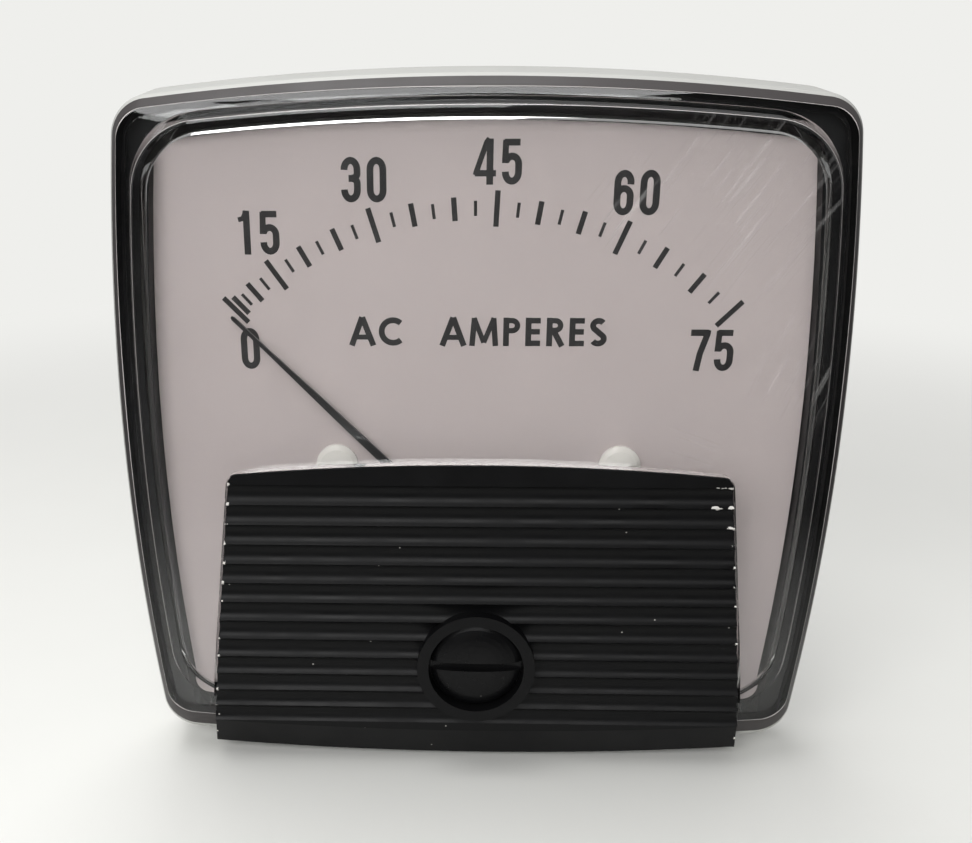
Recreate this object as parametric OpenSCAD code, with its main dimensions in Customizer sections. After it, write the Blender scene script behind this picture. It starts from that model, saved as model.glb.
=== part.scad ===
// Analog panel meter, 4.5 inch class, moving iron, with a clear cover and a fluted lower mask.
// Origin: on the movement axis, in the plane where the flange meets the panel.
// X runs to the right, Y goes back through the panel, Z is up.

/* [Front cover] */
// Width of the cover across its bowed sides
bezel_w = 119.2; // [117:0.1:123]
// Height of the cover's top edge above the movement axis
bezel_top = 76.9; // [75:0.1:80]
// Depth of the cover's bottom edge below the movement axis
bezel_bot = 40.2; // [39.6:0.1:43]
// Radius of the bow of the top and the two sides
edge_arc = 430; // [350:5:600]
// Radius of the bow of the bottom edge
bottom_arc = 600; // [450:5:800]
// Radius of the cover's outer corners
corner_r = 7; // [6:0.1:9]
// Depth of the cover's side wall in front of the panel
side_wall_h = 12; // [11.2:0.1:12.6]
// Draft of the side wall from back to front
side_draft = 0.55; // [0.3:0.05:0.8]
// Sideways run of the bevel at the top and the sides
bevel_run = 2.3; // [1.8:0.1:2.8]
// Forward rise of the bevel
bevel_rise = 3.4; // [3:0.1:3.8]
// Sideways run of the long bevel at the bottom
bottom_bevel_run = 5.4; // [4.6:0.1:6]
// Wall thickness of the clear moulding
cover_wall = 2.2; // [1.8:0.1:2.4]

/* [Raised window] */
// Inset of the window's flat face from each side of the bezel
window_inset = 5.8; // [5.4:0.1:7]
// Inset of the window's face from the bezel's top edge
window_top_inset = 4.8; // [4.4:0.1:6]
// Inset of the window's face from the bezel's bottom edge
window_bot_inset = 11.6; // [11:0.1:12.6]
// Corner radius of the raised window
window_r = 11; // [9:0.5:13]
// Distance from the panel to the window's face
window_h = 19.65; // [19.2:0.05:20.2]
// Thickness of the window
window_t = 2.5; // [2:0.1:2.7]
// Sideways run of the step up to the window
riser_run = 1.2; // [0.8:0.1:1.6]
// Height at which the face starts to curve back, below the axis
curve_start = 12; // [10:0.5:15]
// Radius of the backward curve of the lower face
curve_r = 90; // [80:1:120]

/* [Lower mask] */
// Half width of the mask at its top corners
mask_top_w = 40.5; // [38:0.1:42]
// Half width of the mask at the bottom edge
mask_bot_w = 47.3; // [46:0.1:48]
// Height of the mask's top edge above the axis
mask_top = 17.6; // [17:0.1:19]
// Radius of the mask's top corners
mask_corner_r = 1.8; // [1.2:0.1:2.5]
// Thickness of the mask's front wall
mask_wall = 2.2; // [1.8:0.1:2.4]
// Gap between the mask and the edge of its cut-out in the cover
mask_gap = 0.2; // [0.1:0.05:0.3]
// Height of the top ridge above the axis
ridge_top = 14.2; // [13.6:0.1:14.8]
// Distance from one ridge to the next
ridge_pitch = 3.5; // [3.3:0.05:3.6]
// Number of ridges
ridge_count = 14; // [12:1:14]
// Depth of each flute between two ridges
flute_depth = 0.8; // [0.5:0.05:0.9]
// Sideways run of the plain lip at the mask's bottom edge
lip_run = 6.4; // [5.6:0.1:7]

/* [Zero adjuster] */
// Distance of the adjuster below the movement axis
adjuster_drop = 18.5; // [18:0.1:19]
// Radius of the raised ring round the adjuster
ring_r = 10; // [9.6:0.1:11]
// Height of the ring above the mask's face
ring_rise = 1.4; // [1:0.1:1.6]
// Radius of the domed adjuster head
head_r = 7.8; // [7.2:0.05:8]
// Height of the dome
dome_rise = 1.5; // [1:0.1:1.8]
// Width of the screwdriver slot
slot_w = 1.5; // [1.2:0.1:1.8]
// Depth of the screwdriver slot at the middle of the dome
slot_depth = 1.6; // [1.2:0.1:1.7]
// Radius of the adjuster's shank
shank_r = 2.5; // [2.2:0.1:2.8]
// Running clearance round the shank
shank_gap = 0.05; // [0.03:0.01:0.08]
// Offset of the eccentric pin from the shank's axis
pin_offset = 1.5; // [1.2:0.1:1.6]
// Radius of the eccentric pin
pin_r = 0.8; // [0.7:0.05:0.9]

/* [Base] */
// Gap between the cover's skirt and the base
skirt_gap = 0.15; // [0.1:0.05:0.25]
// Thickness of the base's flange plate
flange_t = 3; // [2.5:0.1:3.3]
// Thickness of the base's rim wall
rim_wall = 3.4; // [3:0.1:4]
// Height of the base's rim wall in front of the panel
rim_h = 11.2; // [10.5:0.1:11.4]
// Radius of the barrel behind the panel
barrel_r = 35.3; // [34.9:0.05:35.45]
// Depth of the barrel behind the panel
barrel_depth = 45; // [43:0.5:50]
// Wall thickness of the barrel
barrel_wall = 3; // [2.6:0.1:3.2]
// Thickness of the barrel's back wall
barrel_back = 3.6; // [3:0.1:4]

/* [Dial] */
// Clearance of the dial plate in its tray, at each side
dial_gap = 0.2; // [0.1:0.05:0.6]
// Clearance of the dial plate below the tray's top wall
dial_top_gap = 1.1; // [0.6:0.1:1.8]
// Distance from the bezel's bottom edge up to the dial plate
dial_bot_inset = 9.5; // [8.5:0.1:10.5]
// Corner radius of the dial plate
dial_r = 2.6; // [2:0.1:3.5]
// Thickness of the dial plate
dial_t = 0.9; // [0.7:0.05:1]
// Distance from the panel to the dial's face
dial_h = 8.3; // [8:0.1:8.5]
// Sideways position of each dial screw
dial_screw_x = 23.7; // [23:0.1:24.5]
// Height of the dial screws above the axis
dial_screw_z = 14.3; // [14:0.1:14.8]
// Radius of the dial screws' heads
dial_screw_r = 3.5; // [3.2:0.05:3.7]

/* [Panel fixing] */
// Spacing of the panel studs in both directions
stud_pitch = 63.5; // [63:0.1:64]
// Radius of the panel studs
stud_r = 2.4; // [2.1:0.05:2.45]
// Length of the panel studs behind the panel
stud_len = 19; // [16:0.5:24]

/* [Terminals] */
// Distance between the two terminal studs
terminal_pitch = 31.8; // [30:0.1:34]
// Radius of the terminal studs
terminal_r = 3.1; // [2.8:0.05:3.2]
// Length of the terminal studs behind the barrel
terminal_len = 16; // [14:0.5:20]

/* [Pointer] */
// Distance from the pivot to the pointer's tip
pointer_len = 56.3; // [55:0.1:57]
// Width of the pointer near the hub
pointer_root_w = 1.8; // [1.5:0.05:2]
// Width of the pointer at its tip
pointer_tip_w = 0.6; // [0.5:0.05:0.8]
// Thickness of the pointer
pointer_t = 0.5; // [0.4:0.05:0.6]
// Distance from the panel to the pointer's back face
pointer_h = 10.2; // [10:0.1:10.4]
// Rest angle of the pointer, left of upright
pointer_rest = 45.1; // [44.8:0.1:46]
// Radius of the pointer's spindle
spindle_r = 0.8; // [0.7:0.05:0.85]
// Angle from rest to the lower stop
stop_low = 2; // [1:0.5:3]
// Angle from rest to the upper stop
stop_high = 93; // [92:0.5:95]

/* [Movement] */
// Inner radius of the coil former
former_r = 9.5; // [9.2:0.1:10]
// Outer radius of the coil former's flanges
former_flange_r = 15.4; // [15:0.1:16]
// Length of the coil former
former_len = 19; // [18:0.5:21]
// Outer radius of the winding
winding_r = 14.4; // [13.5:0.1:14.8]
// Radius of the iron vanes' outer face
vane_r = 8.4; // [8:0.1:8.6]
// Running clearance between the two iron vanes
vane_gap = 0.9; // [0.7:0.1:1.2]
// Radius of the jewel screws
jewel_r = 2.2; // [2:0.1:2.4]
// Clearance of each spindle point in its jewel
jewel_gap = 0.05; // [0.03:0.01:0.08]

/* [Hidden] */

// Smoothness of large bows and of small round pieces
FINE = 720;
ROUND = 96;
eps = 0.01;

// Unit vector along v
function unit(v) = v / norm(v);
// Meeting point of two circles, on the side that s picks
function meet(a, ra, b, rb, s) =
    let (d = norm(b - a), u = (b - a) / d, t = (ra * ra - rb * rb + d * d) / (2 * d))
    a + t * u + s * sqrt(ra * ra - t * t) * [-u[1], u[0]];
// Point at radius r and clock angle a, measured from upright towards the right
function clock(r, a) = [r * sin(a), r * cos(a)];

// Depths of the face in front of the panel
body_h = side_wall_h + bevel_rise;
window_in_h = window_h - window_t;
mask_in_h = window_h - mask_wall;
// Height of the front face at a given height up the meter
function face_h(z) = z > -curve_start ? window_h
    : window_h - pow(-curve_start - z, 2) / (2 * curve_r);
face_end = -curve_start - 24;
lip_h = face_h(-bezel_bot + side_draft + lip_run);

half_w = bezel_w / 2;
window_w = bezel_w - 2 * window_inset;
window_top = bezel_top - window_top_inset;
window_bot = bezel_bot - window_bot_inset;
in_w = half_w - cover_wall;
base_w = in_w - skirt_gap - side_draft;
base_top = bezel_top - cover_wall - skirt_gap - side_draft;
base_bot = bezel_bot - cover_wall - skirt_gap - side_draft;
base_r = corner_r - cover_wall - skirt_gap;
dial_back = dial_h - dial_t;
dial_w = 2 * (base_w - rim_wall - dial_gap);
dial_top = base_top - rim_wall - dial_top_gap;
dial_bot = bezel_bot - dial_bot_inset;
barrel_in = barrel_r - barrel_wall;
barrel_floor = -barrel_depth + barrel_back;

// Movement stack along the axis, in front of the panel
frame_h = 0.6;
frame_t = 3;
former_front = frame_h - frame_t;
former_back = former_front - former_len;
rear_bridge_h = former_back - 1.5;
rear_bridge_t = 2;
bridge_t = 1.4;
bridge_h = pointer_h + 2.9;
spring_h = bridge_h - 1.5;
lever_h = bridge_h + bridge_t + 0.1;
lever_t = 0.8;
jewel_hub_r = jewel_r + 0.05;
spindle_front = bridge_h - 0.35;
spindle_back = rear_bridge_h - rear_bridge_t - 0.4;
post_x = 15.2;
post_z = -5;
post_r = 2.2;
pillar_x = 18;

// Everything below is drawn facing the viewer: x right, y up, z out of the panel
module face() rotate([90, 0, 0]) children();

// One bowed side: a turned block whose outer wall follows the profile
module arc_block(r, c, prof) translate([c[0], c[1], 0]) rotate_extrude($fn = FINE)
    polygon(concat([[0, prof[0][1]]], [for (p = prof) [r - p[0], p[1]]],
        [[0, prof[len(prof) - 1][1]]]));

// Flat plate with the outline of a bowed rectangle, between two heights
module bowed_plate(hw, top, bot, arc, arc_b, rc, h0, h1) translate([0, 0, h0])
    linear_extrude(h1 - h0) polygon(full_ring(half_ring(hw, top, bot, arc, arc_b, rc)));

// Side view of the front face, as a bar along X, moved back by inset
module face_bar(inset) rotate([90, 0, 90]) linear_extrude(2 * bezel_w, center = true)
    polygon(concat([[2 * bezel_top, -1], [2 * bezel_top, window_h - inset + 1]],
        [for (i = [0:8]) let (z = -curve_start - 3 * i) [z, face_h(z) - inset]],
        [[-2 * bezel_top, face_h(face_end) - inset - 12], [-2 * bezel_top, -1]]));

// Turned block that shapes the bottom edge
module bottom_block(extra, prof)
    arc_block(bottom_arc - extra, [0, bottom_arc - bezel_bot], prof);

// Outline of the cut-out that the mask fills, grown or shrunk by g
module notch_2d(g) {
    a = atan((mask_bot_w - mask_top_w) / (mask_top + bezel_bot));
    n = [cos(a), sin(a)];
    c0 = [0, mask_top + g - edge_arc];
    d = n * [mask_top_w, mask_top - 1.9] + g;
    rc = mask_corner_r + g;
    t = asin((d - rc - n * c0) / (edge_arc - rc)) - a;
    c = c0 + (edge_arc - rc) * [sin(t), cos(t)];
    low = -bezel_bot - 5;
    xl = (d - n[1] * low) / n[0];
    xh = (d - n[1] * (mask_top + 8)) / n[0];
    difference() {
        intersection() {
            translate(c0) circle(r = edge_arc, $fn = FINE);
            polygon([[-xl, low], [xl, low], [xh, mask_top + 8], [-xh, mask_top + 8]]);
        }
        for (s = [1, -1]) mirror([s < 0 ? 1 : 0, 0])
            polygon([c, c + 3 * rc * n, c + 4 * rc * [1, 1], c + 3 * rc * unit(c - c0)]);
    }
    for (s = [1, -1]) translate([s * c[0], c[1]]) circle(r = rc, $fn = ROUND);
}

// Right half of a bowed rectangle with round corners, from bottom middle to top middle
function half_ring(hw, top, bot, arc, arc_b, rc) = let (
    mid = (top - bot) / 2, cs = [hw - arc, mid], ct = [0, top - arc], cb = [0, arc_b - bot],
    tr = meet(cs, arc - rc, ct, arc - rc, 1), br = meet(cs, arc - rc, cb, arc_b - rc, -1),
    a1 = dir(br - cb), a2 = dir(br - cs), a3 = dir(tr - cs), a4 = dir(tr - ct))
    concat(bow(cb, arc_b, -90, a1, 5, 0), bow(br, rc, a1, a2, 6, 1), bow(cs, arc, a2, a3, 12, 1),
    bow(tr, rc, a3, a4, 6, 1), bow(ct, arc, a4, 90, 5, 1));
function dir(v) = atan2(v[1], v[0]);
function bow(c, r, a0, a1, n, i0) =
    [for (i = [i0:n]) let (a = a0 + (a1 - a0) * i / n) c + r * [cos(a), sin(a)]];
// One closed ring at height h; sink = 1 lets it follow the curve of the lower face
function ring(half, h, sink) = [for (p = full_ring(half))
    [p[0], p[1], h - sink * (window_h - face_h(p[1]))]];
// The half outline with its mirror image
function full_ring(half) = concat(half,
    [for (i = [len(half) - 2:-1:1]) [-half[i][0], half[i][1]]]);
// Closed solid through a stack of rings, from back to front
module loft(rings) {
    n = len(rings[0]);
    m = len(rings);
    k = n / 2;
    polyhedron(points = [for (r = rings, p = r) p], faces = concat(
        [for (j = [0:m - 2], i = [0:n - 1]) let (q = (i + 1) % n)
            [j * n + i, j * n + n + i, j * n + n + q]],
        [for (j = [0:m - 2], i = [0:n - 1]) let (q = (i + 1) % n)
            [j * n + i, j * n + n + q, j * n + q]],
        [for (i = [0:k - 1]) each cap(i, n, (m - 1) * n, true)],
        [for (i = [0:k - 1]) each cap(i, n, 0, false)]), convexity = 4);
}
// Strip of an end face between the mirrored points i and i + 1
function cap(i, n, o, front) = let (l = (n - i) % n, q = n - i - 1,
    t = i == 0 ? [[1, 0, n - 1]] : i == n / 2 - 1 ? [[i, l, i + 1]]
        : [[i, l, q], [i, q, i + 1]])
    [for (f = t) front ? [o + f[0], o + f[1], o + f[2]] : [o + f[0], o + f[2], o + f[1]]];

// Ring of the cover's body; g shrinks it, run and low_run are the bevel's insets
function body_ring(g, run, low_run, h) = ring(half_ring(half_w - g - run, bezel_top - g - run,
    bezel_bot - g - low_run, edge_arc - g - run, bottom_arc - g - low_run, corner_r - g - run),
    h, 0);
// Ring of the raised window
function window_ring(g, h, sink) = ring(half_ring(window_w / 2 - g, window_top - g,
    window_bot - g, edge_arc - g, bottom_arc - g, window_r - g), h, sink);

window_edge = 0.3;
module front_cover() color([0.82, 0.84, 0.84, 0.35]) face() difference() {
    loft([body_ring(0, 0, 0, 0.3), body_ring(0, side_draft, side_draft, side_wall_h),
        body_ring(0, side_draft + 0.35, side_draft + 0.8, side_wall_h + 0.7),
        body_ring(0, bevel_run, bottom_bevel_run, body_h),
        window_ring(-riser_run, body_h + 0.2, 0.3),
        window_ring(-0.15, window_h - window_edge - 0.2, 1),
        window_ring(window_edge, window_h, 1)]);
    loft([body_ring(cover_wall, 0, 0, -1), body_ring(cover_wall, 0, 0, 0.3),
        body_ring(cover_wall, side_draft, side_draft, side_wall_h - 0.6),
        body_ring(cover_wall, 1.2, bottom_bevel_run - 1.6, body_h - cover_wall),
        window_ring(1.6 - riser_run, body_h - cover_wall + 0.2, 0.3),
        window_ring(1.6, window_in_h - 0.4, 1), window_ring(2, window_in_h, 1)]);
    translate([0, 0, -1]) linear_extrude(window_h + 5) notch_2d(mask_gap);
}

module lower_mask() color([0.05, 0.05, 0.055]) face() difference() {
    union() {
        difference() {
            intersection() {
                translate([0, 0, 0.3]) linear_extrude(window_h - 0.3) notch_2d(0);
                face_bar(0);
                bottom_block(0, [[0, -1], [0, 0.3], [side_draft, side_wall_h],
                    [side_draft + 0.6, side_wall_h + 2.2], [lip_run + 1, lip_h - 0.1],
                    [lip_run + 1.1, window_h + 5]]);
            }
            intersection() {
                translate([0, 0, -1]) linear_extrude(mask_in_h + 1)
                    square(4 * bezel_w, center = true);
                face_bar(mask_wall);
                bottom_block(cover_wall, [[0, -2], [side_draft, side_wall_h],
                    [side_draft + 0.6, side_wall_h + 1.2], [lip_run, lip_h - mask_wall],
                    [lip_run + 0.1, window_h + 5]]);
            }
            for (i = [0:ridge_count - 2]) flute(ridge_top - (i + 0.5) * ridge_pitch);
        }
        translate([0, -adjuster_drop, boss_back]) cylinder(r = ring_r,
            h = window_h + ring_rise - boss_back, $fn = ROUND);
        for (s = [1, -1]) translate([s * 30, -2, dial_h]) cylinder(r = 2.6,
            h = mask_in_h - dial_h + 0.5, $fn = 48);
    }
    translate([0, -adjuster_drop, head_seat]) cylinder(r = head_r + 0.3, h = 9, $fn = ROUND);
    translate([0, -adjuster_drop, 0]) cylinder(r = shank_r + shank_gap, h = 30, $fn = ROUND);
}

// One hollow flute across the mask, its middle at height z
flute_r = (pow(ridge_pitch / 2, 2) + flute_depth * flute_depth) / (2 * flute_depth);
module flute(z) translate([0, z, face_h(z) - flute_depth + flute_r]) rotate([0, 90, 0])
    cylinder(r = flute_r, h = 2 * bezel_w, center = true, $fn = 64);

module base() color([0.06, 0.06, 0.065]) face() difference() {
    union() {
        bowed_plate(base_w, base_top, base_bot, edge_arc - cover_wall,
            bottom_arc - cover_wall, base_r, 0, rim_h);
        translate([0, 0, -barrel_depth]) cylinder(r = barrel_r, h = barrel_depth + 1, $fn = ROUND);
        for (s = [1, -1]) translate([s * terminal_pitch / 2, 0, -barrel_depth - 2])
            cylinder(r = terminal_r + 3.4, h = 3, $fn = 64);
    }
    // Tray in front of the ledge that carries the dial
    bowed_plate(base_w - rim_wall, base_top - rim_wall, base_bot - cover_wall,
        edge_arc - cover_wall, bottom_arc - cover_wall, dial_r, dial_back, rim_h + 1);
    // Deeper floor inside the ledge
    bowed_plate(base_w - rim_wall - 4, base_top - rim_wall - 4, base_bot - cover_wall - 3,
        edge_arc - cover_wall, bottom_arc - cover_wall, dial_r, flange_t, rim_h + 1);
    // Opening of the rim under the mask's skirt
    translate([-mask_bot_w - 1.5, -bezel_bot - 2, dial_back - 0.5])
        cube([2 * mask_bot_w + 3, bezel_bot - dial_bot + 1.4, rim_h]);
    translate([0, 0, barrel_floor]) cylinder(r = barrel_in, h = 80, $fn = ROUND);
    for (p = stud_points()) translate([p[0], p[1], -1]) cylinder(r = shoulder_r,
        h = flange_t + 2, $fn = 48);
    for (s = [1, -1]) translate([s * terminal_pitch / 2, 0, -barrel_depth - 5])
        cylinder(r = body_r, h = 20, $fn = 48);
    for (a = frame_ears) translate([clock(ear_r, a)[0], clock(ear_r, a)[1], 0.8])
        cylinder(r = 1.5, h = 20, $fn = 32);
    // Pockets for the heads of the panel studs
    for (p = stud_points()) translate([p[0], p[1], flange_t])
        cylinder(r = stud_head_r + 0.3, h = dial_back, $fn = 48);
}

shoulder_r = stud_r + 0.7;
stud_head_r = stud_r + 1.8;
stud_head_t = 1.2;
function stud_points() = [for (x = [-1, 1], y = [1, -1]) [x * stud_pitch / 2, y * stud_pitch / 2]];

module dial_plate() color([0.72, 0.69, 0.67]) face() difference() {
    bowed_plate(dial_w / 2, dial_top, dial_bot, edge_arc - cover_wall,
        bottom_arc - cover_wall, dial_r, dial_back, dial_h);
    // Clearance for the movement's collet, its posts and the mask's pads
    translate([0, 0, dial_back - 1]) cylinder(r = 6, h = 4, $fn = 64);
    for (s = [1, -1]) {
        translate([s * post_x, post_z, dial_back - 1]) cylinder(r = post_r + 0.3, h = 4, $fn = 48);
        translate([s * dial_screw_x, dial_screw_z, dial_back - 1]) cylinder(r = 1.6, h = 4, $fn = 48);
    }
    for (a = [-stop_out - pointer_rest - stop_low, stop_out - pointer_rest + stop_high])
        translate([clock(stop_rad, a)[0], clock(stop_rad, a)[1], dial_back - 1])
            cylinder(r = stop_pin_r, h = 4, $fn = 32);
}

module dial_screw(s) color([0.9, 0.9, 0.88]) face()
    translate([s * dial_screw_x, dial_screw_z, 0]) {
    difference() {
        translate([0, 0, dial_h]) rotate_extrude($fn = 64) polygon([[0, 0], [dial_screw_r, 0],
            [dial_screw_r, 0.7], [dial_screw_r * 0.8, 1.35], [dial_screw_r * 0.4, 1.65], [0, 1.7]]);
        translate([-5, -0.45, dial_h + 0.9]) cube([10, 0.9, 2]);
    }
    translate([0, 0, dial_h - 5]) cylinder(r = 1.5, h = 5 + eps, $fn = 48);
}
module dial_screw_left() dial_screw(-1);
module dial_screw_right() dial_screw(1);

// Panel stud with its shoulder moulded into the flange and a flat head in the tray
module panel_stud(p) color([0.72, 0.72, 0.7]) face() translate([p[0], p[1], 0])
    rotate_extrude($fn = 64) polygon([[0, -stud_len], [stud_r - 0.5, -stud_len],
        [stud_r, -stud_len + 0.5], [stud_r, 0], [shoulder_r, 0], [shoulder_r, flange_t],
        [stud_head_r, flange_t], [stud_head_r, flange_t + stud_head_t],
        [0, flange_t + stud_head_t]]);
module panel_stud_upper_left() panel_stud(stud_points()[0]);
module panel_stud_lower_left() panel_stud(stud_points()[1]);
module panel_stud_upper_right() panel_stud(stud_points()[2]);
module panel_stud_lower_right() panel_stud(stud_points()[3]);

// Terminal hardware, from the barrel's back outward
seat_h = -barrel_depth - 2;
washer_t = 1;
lock_t = 1.1;
nut_t = 4.2;
module at_terminal(s) face() translate([s * terminal_pitch / 2, 0, 0]) children();
nut_end = seat_h - washer_t - lock_t - nut_t;
stud_step = 0.4;
body_r = terminal_r + stud_step;
stud_hex_t = 2.2;
lug_pin_r = 1.6;
lug_pin_len = 2.4;
module terminal_stud(s) color([0.78, 0.7, 0.45]) at_terminal(s) {
    // Threaded end that stays free behind the nut, and the thicker part through the barrel
    rotate_extrude($fn = 64) polygon([[0, seat_h - terminal_len],
        [terminal_r - 0.6, seat_h - terminal_len], [terminal_r, seat_h - terminal_len + 0.6],
        [terminal_r, nut_end], [body_r, nut_end], [body_r, barrel_floor + stud_hex_t / 2],
        [lug_pin_r, barrel_floor + stud_hex_t / 2],
        [lug_pin_r, barrel_floor + stud_hex_t + lug_pin_len],
        [0, barrel_floor + stud_hex_t + lug_pin_len]]);
    translate([0, 0, barrel_floor]) cylinder(r = terminal_r + 1.4, h = stud_hex_t, $fn = 6);
}
module terminal_stud_left() terminal_stud(-1);
module terminal_stud_right() terminal_stud(1);
module terminal_washer(s) color([0.76, 0.76, 0.74]) at_terminal(s) difference() {
    translate([0, 0, seat_h - washer_t]) cylinder(r = terminal_r + 3.2, h = washer_t, $fn = 64);
    translate([0, 0, seat_h - 5]) cylinder(r = body_r + 0.15, h = 10, $fn = 64);
}
module terminal_washer_left() terminal_washer(-1);
module terminal_washer_right() terminal_washer(1);
module terminal_lock_washer(s) color([0.6, 0.6, 0.58]) at_terminal(s) difference() {
    translate([0, 0, seat_h - washer_t - lock_t]) cylinder(r = terminal_r + 2, h = lock_t, $fn = 64);
    translate([0, 0, seat_h - 10]) cylinder(r = body_r + 0.15, h = 20, $fn = 64);
    translate([0, 0, seat_h - washer_t - lock_t / 2]) rotate([0, 35, 0])
        translate([-0.35, 0, -3]) cube([0.7, 9, 6]);
}
module terminal_lock_washer_left() terminal_lock_washer(-1);
module terminal_lock_washer_right() terminal_lock_washer(1);
module terminal_nut(s) color([0.8, 0.74, 0.52]) at_terminal(s) difference() {
    translate([0, 0, seat_h - washer_t - lock_t - nut_t]) cylinder(r = terminal_r * 2.05,
        h = nut_t, $fn = 6);
    translate([0, 0, nut_end - 1]) cylinder(r = body_r + 0.02, h = nut_t + 2, $fn = 64);
}
module terminal_nut_left() terminal_nut(-1);
module terminal_nut_right() terminal_nut(1);

// Soldering lug on the inner end of each terminal stud
lug_t = 0.6;
lug_h = barrel_floor + stud_hex_t;
lead_at = [-3.8, 6.6];
module solder_lug(s) color([0.8, 0.78, 0.7]) at_terminal(s) mirror([s < 0 ? 1 : 0, 0, 0])
    difference() {
    union() {
        translate([0, 0, lug_h]) cylinder(r = 3.4, h = lug_t, $fn = 48);
        translate([0, 0, lug_h]) linear_extrude(lug_t) polygon([[-2.6, -1.5], [2.6, 1.5],
            lead_at + [1.2, 0.8], lead_at + [-0.2, 1.7], lead_at + [-1.4, 0.2]]);
    }
    translate([0, 0, lug_h - 1]) cylinder(r = lug_pin_r + 0.05, h = 4, $fn = 48);
}
module solder_lug_left() solder_lug(-1);
module solder_lug_right() solder_lug(1);

// Lead from the winding to its lug
lead_r = 0.65;
module lead(s) color([0.55, 0.12, 0.1]) at_terminal(s)
    translate([s * lead_at[0], lead_at[1], lug_h + lug_t]) cylinder(r = lead_r,
        h = former_back - lug_h - lug_t, $fn = 24);
module lead_left() lead(-1);
module lead_right() lead(1);

// Moulded frame that closes the barrel's mouth and carries the movement
frame_ears = [60, 120, 240, 300];
ear_r = barrel_r + 3.4;
ear_t = 1.6;
module movement_frame() color([0.12, 0.1, 0.09]) face() difference() {
    union() {
        translate([0, 0, frame_h - frame_t]) cylinder(r = barrel_in - 0.2, h = frame_t, $fn = ROUND);
        for (a = frame_ears) rotate([0, 0, -a]) {
            translate([-3.5, barrel_in - 6, frame_h - 0.5])
                cube([7, 4.5, flange_t + ear_t + 0.5 - frame_h]);
            translate([-3.5, barrel_in - 4, flange_t]) cube([7, ear_r - barrel_in + 4, ear_t]);
            translate([0, ear_r, flange_t]) cylinder(r = 3.5, h = ear_t, $fn = 48);
        }
        // Posts for the dial screws and for the front bridge
        for (s = [1, -1]) {
            translate([s * dial_screw_x, dial_screw_z, frame_h - 0.5]) cylinder(r = 3.6,
                h = dial_back - frame_h + 0.5, $fn = 48);
            translate([s * post_x, post_z, frame_h - 0.5]) cylinder(r = post_r,
                h = bridge_h - frame_h + 0.5, $fn = 48);
            translate([s * pillar_x, 0, rear_bridge_h]) cylinder(r = 2.1,
                h = frame_h - frame_t - rear_bridge_h + 0.5, $fn = 48);
        }
    }
    translate([0, 0, -10]) cylinder(r = 5, h = 20, $fn = 64);
    for (s = [1, -1]) {
        translate([s * dial_screw_x, dial_screw_z, dial_h - 5]) cylinder(r = 1.5, h = 20, $fn = 48);
        translate([s * pillar_x, 0, rear_bridge_h - 1]) cylinder(r = 1.1, h = 5, $fn = 32);
    }
    for (a = frame_ears) translate([clock(ear_r, a)[0], clock(ear_r, a)[1], -5])
        cylinder(r = 1.6, h = 20, $fn = 32);
}

module frame_screws() color([0.7, 0.7, 0.68]) face() for (a = frame_ears)
    translate([clock(ear_r, a)[0], clock(ear_r, a)[1], 0]) {
        translate([0, 0, 0.9]) cylinder(r = 1.5, h = flange_t + ear_t - 0.9, $fn = 32);
        difference() {
            translate([0, 0, flange_t + ear_t]) cylinder(r = 2.5, h = 1.2, $fn = 48);
            translate([-3, -0.35, flange_t + ear_t + 0.6]) cube([6, 0.7, 2]);
        }
    }

module coil_former() color([0.85, 0.8, 0.68]) face() difference() {
    union() {
        translate([0, 0, former_back]) cylinder(r = former_r + 1, h = former_len, $fn = ROUND);
        translate([0, 0, former_back]) cylinder(r = former_flange_r, h = 1.2, $fn = ROUND);
        translate([0, 0, former_front - 1.2]) cylinder(r = former_flange_r, h = 1.2, $fn = ROUND);
    }
    translate([0, 0, former_back - 1]) cylinder(r = former_r, h = former_len + 2, $fn = ROUND);
}

module coil_winding() color([0.62, 0.3, 0.14]) face() difference() {
    translate([0, 0, former_back + 1.2]) cylinder(r = winding_r, h = former_len - 2.4, $fn = ROUND);
    translate([0, 0, former_back - 1]) cylinder(r = former_r + 1, h = former_len + 2, $fn = ROUND);
}

// Part of a tube between two clock angles
module tube_sector(r_out, r_in, h0, h1, a0, a1) difference() {
    intersection() {
        translate([0, 0, h0]) cylinder(r = r_out, h = h1 - h0, $fn = ROUND);
        translate([0, 0, h0 - 1]) linear_extrude(h1 - h0 + 2) polygon(concat([[0, 0]],
            [for (i = [0:6]) clock(3 * r_out, a0 + (a1 - a0) * i / 6)]));
    }
    translate([0, 0, h0 - 1]) cylinder(r = r_in, h = h1 - h0 + 2, $fn = ROUND);
}

vane_t = 0.6;
module fixed_vane() color([0.5, 0.51, 0.52]) face()
    tube_sector(former_r, vane_r, former_back + 2, former_front - 2, 60, 215);

module moving_vane() color([0.5, 0.51, 0.52]) face() {
    r = vane_r - vane_gap;
    tube_sector(r, r - vane_t, former_back + 2.5, former_front - 2.5, -pointer_rest - 35,
        -pointer_rest + 35);
    // Arms staked on the spindle
    for (h = [former_front - 5, former_back + 4]) translate([0, 0, h]) difference() {
        union() {
            cylinder(r = spindle_r + 1, h = arm_t, $fn = 48);
            rotate([0, 0, pointer_rest]) translate([-1.2, 0, 0])
                cube([2.4, r - vane_t / 2, arm_t]);
        }
        translate([0, 0, -1]) cylinder(r = spindle_r, h = arm_t + 2, $fn = 48);
    }
}
arm_t = 0.8;

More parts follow.
